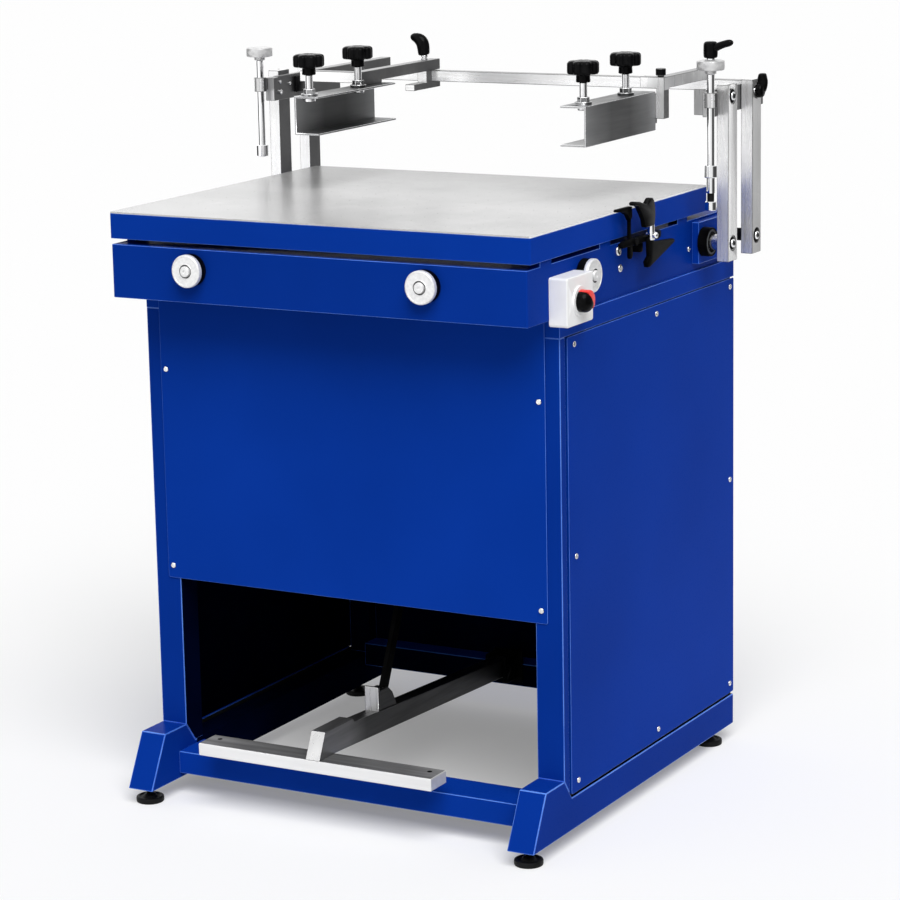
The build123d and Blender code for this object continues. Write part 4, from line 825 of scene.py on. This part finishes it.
parts = [(clampSlab(name), 0) for name in ("foot", "rail", "post", "hook")]
for place in clampFixings["nuts"]:
    parts.append((placed(hexagon(clampFixings["nutFlats"], clampFixings["nutDepth"]), place, "x"), 0))
finishPiece("edge_clamp_base", gather(parts), [blackSteel], "base", ["clamp_base"])
parts = [(clampSlab("grip", 4), 1), (clampSlab("plate"), 0),
         (placed(turned(clampFixings["spindle"], 32), clampFixings["spindlePlace"]), 2),
         (placed(turned(clampFixings["pin"], 32), clampFixings["pinPlace"], "x"), 2)]
finishPiece("edge_clamp_lever", gather(parts), [blackSteel, blackPlastic, chromed], nodes["clamp_lever"]["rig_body"],
            ["clamp_lever"], smoothAngle=50)
print("switch and clamp done")

# Star knobs and the clamp screws under them
starKnob = {
    "hubRadius": 11, "hubHeight": 12, "radius": 25, "height": 21, "lobes": 8, "groove": 3.6, "foot": 1124,
    "places": {"left_front": (-190.5, 314), "left_rear": (-190.5, 465),
               "right_front": (277.5, 338), "right_rear": (277.5, 485)},
}
clampScrew = [(0, 1081.7), (8.5, 1081.7), (9.5, 1082.7), (9.5, 1086.7), (8.5, 1087.7), (6, 1087.7), (6, 1122.7),
              (5, 1123.7), (0, 1123.7)]


def starKnobPart():
    hub, h, r = starKnob["hubRadius"], starKnob["hubHeight"], starKnob["radius"]
    top = h + starKnob["height"]
    part = turned([
        (0, 0), (hub - 1, 0), (hub, 1), (hub - 0.4, h - 2), (hub + 1, h - 0.4), (hub + 3, h), (r - 5, h),
        (r - 1.5, h + 0.8), (r - 0.2, h + 2.6), (r, h + 5), (r, top - 6), (r - 0.5, top - 3.6), (r - 2, top - 1.9),
        (r - 5, top - 0.9), (r - 9, top - 0.4), (8, top), (7, top - 0.5), (0, top - 0.6),
    ], 96)
    return fluted(part, starKnob["lobes"], starKnob["groove"], hub + 4)


for place, (x, y) in starKnob["places"].items():
    knob, screw = "star_knob_" + place, "clamp_spindle_" + place
    finishPiece(knob + "_moulding", gather([(placed(starKnobPart(), (x, y, starKnob["foot"])), 0)]), [blackPlastic],
                nodes[knob]["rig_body"], [knob])
    finishPiece(screw + "_stem", gather([(placed(turned(clampScrew, 48), (x, y, 0)), 0)]), [threadedRod],
                nodes[screw]["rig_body"], [screw])
print("star knobs done")

# Stop rods and their knobs; the right rod ends in a rubber bumper
stopRod = {
    "x": 408, "y": 514,
    "rod": [(0, 965), (9.5, 965), (10.5, 966), (10.5, 983), (9.5, 984), (6, 984), (6, 1123), (5, 1124), (0, 1124)],
    "footRod": [(0, 941), (6.7, 941), (6.7, 965), (0, 965)],
    "bumper": [(0, 928), (5.0, 928), (5.5, 928.6), (5.5, 940.4), (5.0, 941), (0, 941)],
    "footCap": [(0, 914), (8, 914), (9, 915), (9, 927), (8, 928), (0, 928)],
    "neck": [(0, 1124.3), (8.4, 1124.3), (9, 1125), (9, 1130)],
    "knobBottom": 1130, "knobTop": 1145, "knobRadius": 21.5, "knurls": 90, "knurlDepth": 0.3,
}


def knurledKnob():
    r, low, high = stopRod["knobRadius"], stopRod["knobBottom"], stopRod["knobTop"]
    knob = turned(stopRod["neck"] + [
        (r - 2, low), (r - 0.6, low + 0.7), (r, low + 2), (r, (low + high) / 2), (r, high - 2),
        (r - 0.6, high - 0.7), (r - 2, high), (10, high), (9.4, high - 0.5), (0, high - 0.5),
    ], stopRod["knurls"] * 2)
    return fluted(knob, stopRod["knurls"], stopRod["knurlDepth"], r - 0.3)


for side, sign in (("left", -1), ("right", 1)):
    place = (sign * stopRod["x"], stopRod["y"], 0)
    rounds = [("rod", 0)] + ([("footRod", 0), ("bumper", 1), ("footCap", 0)] if side == "right" else [])
    parts = [(placed(turned(stopRod[name], 48), place), finish) for name, finish in rounds]
    node = "stop_rod_" + side
    finishPiece(node + "_turned", gather(parts), [chromed, rubber], nodes[node]["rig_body"], [node])
    node = "stop_knob_" + side
    finishPiece(node + "_knurled", gather([(placed(knurledKnob(), place), 0)]), [knurledSatin],
                nodes[node]["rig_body"], [node])

# The three clamp levers: a swept handle given as (middle, half width, half height), with what it turns on
carriageLever = {
    "place": (-203, 706.7, 0),
    "neck": [(0, 1113.3), (5.4, 1113.3), (6, 1114), (6, 1116.4), (4.6, 1117), (4.6, 1118.2), (6.2, 1118.8),
             (6.2, 1122), (0, 1122)],
    "handle": [
        ((-203.6, 706.7, 1121.2), 7.6, 7.6), ((-203.8, 706.7, 1122.4), 9.6, 9.2), ((-204, 706.7, 1125), 10.4, 9.8),
        ((-204.4, 706.7, 1134), 11.2, 10.2), ((-206, 706.7, 1142), 12.0, 10.4), ((-210.5, 706.7, 1147), 11.4, 10.0),
        ((-216.5, 706.7, 1149.8), 9.0, 8.8), ((-222, 706.7, 1151.0), 7.4, 7.2), ((-226, 706.7, 1151.4), 5.4, 5.4),
        ((-228.6, 706.7, 1151.6), 2.2, 2.2)],
}
rodLever = {
    "place": (408, 514, 0),
    "collar": [(0, 1145.3), (6.4, 1145.3), (7, 1146), (7, 1149.6), (0, 1149.6)],
    "hub": [(0, 1148.4), (9.2, 1148.4), (10.8, 1150.2), (11.2, 1154), (11.2, 1168), (10.6, 1171.6), (8, 1174),
            (0, 1174.2)],
    "handle": [
        ((409, 514, 1160), 6.6, 7.4), ((413, 514, 1163), 7.0, 7.6), ((420, 514, 1166.4), 6.2, 7.0),
        ((430, 514, 1170), 5.6, 6.4), ((438, 514, 1172), 5.8, 6.2), ((442.4, 514, 1172.8), 4.8, 5.2),
        ((445.6, 514, 1173.2), 2.2, 2.4)],
}
armLever = {
    "place": (0, 668, 1085),
    "pin": [(0, 389.9), (5.4, 389.9), (6, 390.5), (6, 419.6), (0, 419.6)],
    "hub": [(0, 419.3), (10.6, 419.3), (11.6, 420.2), (11.4, 427), (10.2, 429.4), (7, 430.6), (0, 431)],
    "handle": [
        ((424, 670, 1083), 7.4, 8.0), ((424.6, 673, 1087), 8.2, 8.8), ((424.8, 675, 1093), 7.6, 9.4),
        ((424.8, 676, 1100), 7.0, 9.6), ((424.8, 676, 1106), 6.8, 9.6), ((424.8, 676, 1110), 6.4, 9.2),
        ((424.8, 676, 1111.6), 4.0, 5.6)],
}


def lever(node, settings, rounds, axis="z"):
    parts = [(swept(settings["handle"], 16), 0)]
    parts += [(placed(turned(settings[name], steps), settings["place"], axis), finish)
              for name, steps, finish in rounds]
    finishPiece(node + "_moulding", gather(parts), [blackPlastic, chromed], nodes[node]["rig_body"], [node],
                rounding=1)


lever("carriage_lever", carriageLever, [("neck", 32, 1)])
lever("rod_lock_lever", rodLever, [("hub", 40, 0), ("collar", 32, 1)])
lever("arm_lock_lever", armLever, [("hub", 40, 0), ("pin", 32, 1)], "x")
print("levers done")

# Shaft bearings, feet, springs and pump
shaftBearing = {
    "place": (368, 574, 855),
    "ring": [(12.6, 0), (22.2, 0), (23, 0.8), (23, 15.2), (22.2, 16), (20.8, 16), (20.2, 15.2), (15.6, 15.2),
             (15, 14), (12.6, 14)],
    "trim": [(16.6, 14.6), (19.6, 14.6), (19.6, 15.5), (19.2, 15.9), (17.0, 15.9), (16.6, 15.5)],
}
levellingFoot = {
    "pad": [(0, 0), (20.4, 0), (21.5, 0.8), (22, 2.2), (22, 6.8), (21.4, 8.4), (20, 9.2), (17.8, 9.0), (16.2, 7.6),
            (12.4, 7.4), (10.8, 8.8), (9.2, 11.4), (6.6, 13.4), (0, 13.8)],
    "stem": [(0, 12), (5, 12), (5, 39.2), (4.2, 40), (0, 40)],
    "nutFlats": 16.4, "nutDepth": 7, "nutBottom": 17.7,
}
bearings = []
for sign, axis in ((-1, "-x"), (1, "x")):
    x, y, z = shaftBearing["place"]
    bearings += [(placed(turned(shaftBearing[name], 64, closed=True), (sign * x, y, z), axis), finish)
                 for name, finish in (("ring", 0), ("trim", 1))]
finishPiece("shaft_bearing_housings", gather(bearings), [blackSteel, pumpCasting], "base", ["shaft_bearings"])
for node in [name for name in nodes if name.startswith("levelling_foot")]:
    low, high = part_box(node)
    x, y = (low.x + high.x) / 2 / mm, (low.y + high.y) / 2 / mm
    nut = hexagon(levellingFoot["nutFlats"], levellingFoot["nutDepth"])
    parts = [(placed(turned(levellingFoot["pad"], 64), (x, y, 0)), 0),
             (placed(turned(levellingFoot["stem"], 32), (x, y, 0)), 1),
             (placed(nut, (x, y, levellingFoot["nutBottom"])), 1)]
    finishPiece(node + "_pad", gather(parts), [rubber, blackSteel], nodes[node]["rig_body"], [node])
carryOver("lift_springs", [platedSteel], 0.5)
carryOver("vacuum_pump", [pumpCasting], 2.0)
carryOver("vacuum_hose", [hoseRubber], 0.3)
print("bearings, feet and pump done")

# Floor, background and light; flags are the dark and light walls that only the metal mirrors
studio = {
    "floor": 40.0, "floorColour": (0.72, 0.72, 0.72), "white": 0.982, "lift": 0.245,
    "sky": 0.30, "sunStrength": 2.9, "sunTurn": (0.37, -0.48, 0.80), "sunAngle": 45.0,
    "flagSide": (0.96, 0.28, 0),
    "flags": [(-1.0, 0.08), (-0.93, 0.16), (-0.83, 1.5), (-0.5, 1.5), (0.0, 1.0), (0.50, 0.98), (0.64, 0.90),
              (0.71, 0.62), (0.78, 0.14), (1.0, 0.06)],
    "middle": (0, 0.35, 0.9), "mirrorFrom": 1.6, "mirrorTo": 3.0,
}


def flagTone(tree, direction):  # how light the room is in each direction, as metal sees it
    dot = tree.nodes.new("ShaderNodeVectorMath")
    dot.operation = "DOT_PRODUCT"
    tree.links.new(direction, dot.inputs[0])
    dot.inputs[1].default_value = studio["flagSide"]
    run = valueBetween(tree, dot.outputs["Value"], 0.0, 1.0, -1.0, 1.0)
    return colourBetween(tree, run, [((place + 1) / 2, (tone,) * 3) for place, tone in studio["flags"]])


def mathNode(tree, operation, first, second):
    node = tree.nodes.new("ShaderNodeMath")
    node.operation = operation
    for place, value in enumerate((first, second)):
        if isinstance(value, float):
            node.inputs[place].default_value = value
        else:
            tree.links.new(value, node.inputs[place])
    return node.outputs["Value"]


def mixed(tree, factor, first, second):
    mix = tree.nodes.new("ShaderNodeMixShader")
    tree.links.new(factor, mix.inputs["Fac"])
    tree.links.new(first, mix.inputs[1])
    tree.links.new(second, mix.inputs[2])
    return mix.outputs["Shader"]


def makeFloor(settings):
    ground = bmesh.new()
    bmesh.ops.create_grid(ground, x_segments=1, y_segments=1, size=settings["floor"] / 2)
    mesh = bpy.data.meshes.new("floor")
    ground.to_mesh(mesh)
    ground.free()
    floor = bpy.data.objects.new("floor", mesh)
    scene.collection.objects.link(floor)
    material = bpy.data.materials.new("studio_floor")
    material.use_nodes = True
    tree = material.node_tree
    shader = tree.nodes["Principled BSDF"]
    shader.inputs["Base Color"].default_value = (*settings["floorColour"], 1)
    shader.inputs["Roughness"].default_value = 0.9
    shader.inputs["Specular IOR Level"].default_value = 0.0
    # the floor glows a little where it is seen, so that it meets the background
    path = tree.nodes.new("ShaderNodeLightPath")
    lift = tree.nodes.new("ShaderNodeEmission")
    seen = mathNode(tree, "MAXIMUM", path.outputs["Is Camera Ray"], path.outputs["Is Glossy Ray"])
    seen = mathNode(tree, "MAXIMUM", seen, path.outputs["Is Transmission Ray"])
    tree.links.new(mathNode(tree, "MULTIPLY", seen, settings["lift"]), lift.inputs["Strength"])
    both = tree.nodes.new("ShaderNodeAddShader")
    tree.links.new(shader.outputs["BSDF"], both.inputs[0])
    tree.links.new(lift.outputs["Emission"], both.inputs[1])
    # far from the table, the floor mirrors in metal as the flags do
    coords = tree.nodes.new("ShaderNodeTexCoord")
    away = tree.nodes.new("ShaderNodeVectorMath")
    away.operation = "SUBTRACT"
    away.inputs[1].default_value = settings["middle"]
    tree.links.new(coords.outputs["Object"], away.inputs[0])
    unit = tree.nodes.new("ShaderNodeVectorMath")
    unit.operation = "NORMALIZE"
    tree.links.new(away.outputs["Vector"], unit.inputs[0])
    length = tree.nodes.new("ShaderNodeVectorMath")
    length.operation = "LENGTH"
    tree.links.new(away.outputs["Vector"], length.inputs[0])
    far = tree.nodes.new("ShaderNodeEmission")
    tree.links.new(flagTone(tree, unit.outputs["Vector"]), far.inputs["Color"])
    beyond = valueBetween(tree, length.outputs["Value"], 0.0, 1.0, settings["mirrorFrom"], settings["mirrorTo"])
    glossyFar = mathNode(tree, "MULTIPLY", path.outputs["Is Glossy Ray"], beyond)
    tree.links.new(mixed(tree, glossyFar, both.outputs["Shader"], far.outputs["Emission"]),
                   tree.nodes["Material Output"].inputs["Surface"])
    mesh.materials.append(material)


def makeWorld(settings):
    world = bpy.data.worlds.new("studio")
    scene.world = world
    world.use_nodes = True
    tree = world.node_tree
    sky = tree.nodes["Background"]
    sky.inputs["Color"].default_value = (1, 1, 1, 1)
    sky.inputs["Strength"].default_value = settings["sky"]
    plain = tree.nodes.new("ShaderNodeBackground")
    plain.inputs["Color"].default_value = (settings["white"],) * 3 + (1,)
    room = tree.nodes.new("ShaderNodeBackground")
    coords = tree.nodes.new("ShaderNodeTexCoord")
    tree.links.new(flagTone(tree, coords.outputs["Object"]), room.inputs["Color"])
    path = tree.nodes.new("ShaderNodeLightPath")
    seen = mathNode(tree, "MAXIMUM", path.outputs["Is Camera Ray"], path.outputs["Is Transmission Ray"])
    surroundings = mixed(tree, path.outputs["Is Glossy Ray"], sky.outputs["Background"], room.outputs["Background"])
    tree.links.new(mixed(tree, seen, surroundings, plain.outputs["Background"]),
                   tree.nodes["World Output"].inputs["Surface"])


def makeSun(settings):
    data = bpy.data.lights.new("key", "SUN")
    data.energy = settings["sunStrength"]
    data.angle = math.radians(settings["sunAngle"])
    sun = bpy.data.objects.new("key", data)
    scene.collection.objects.link(sun)
    sun.rotation_mode = "QUATERNION"
    sun.rotation_quaternion = Vector(settings["sunTurn"]).to_track_quat("Z", "Y")


makeFloor(studio)
makeWorld(studio)
makeSun(studio)
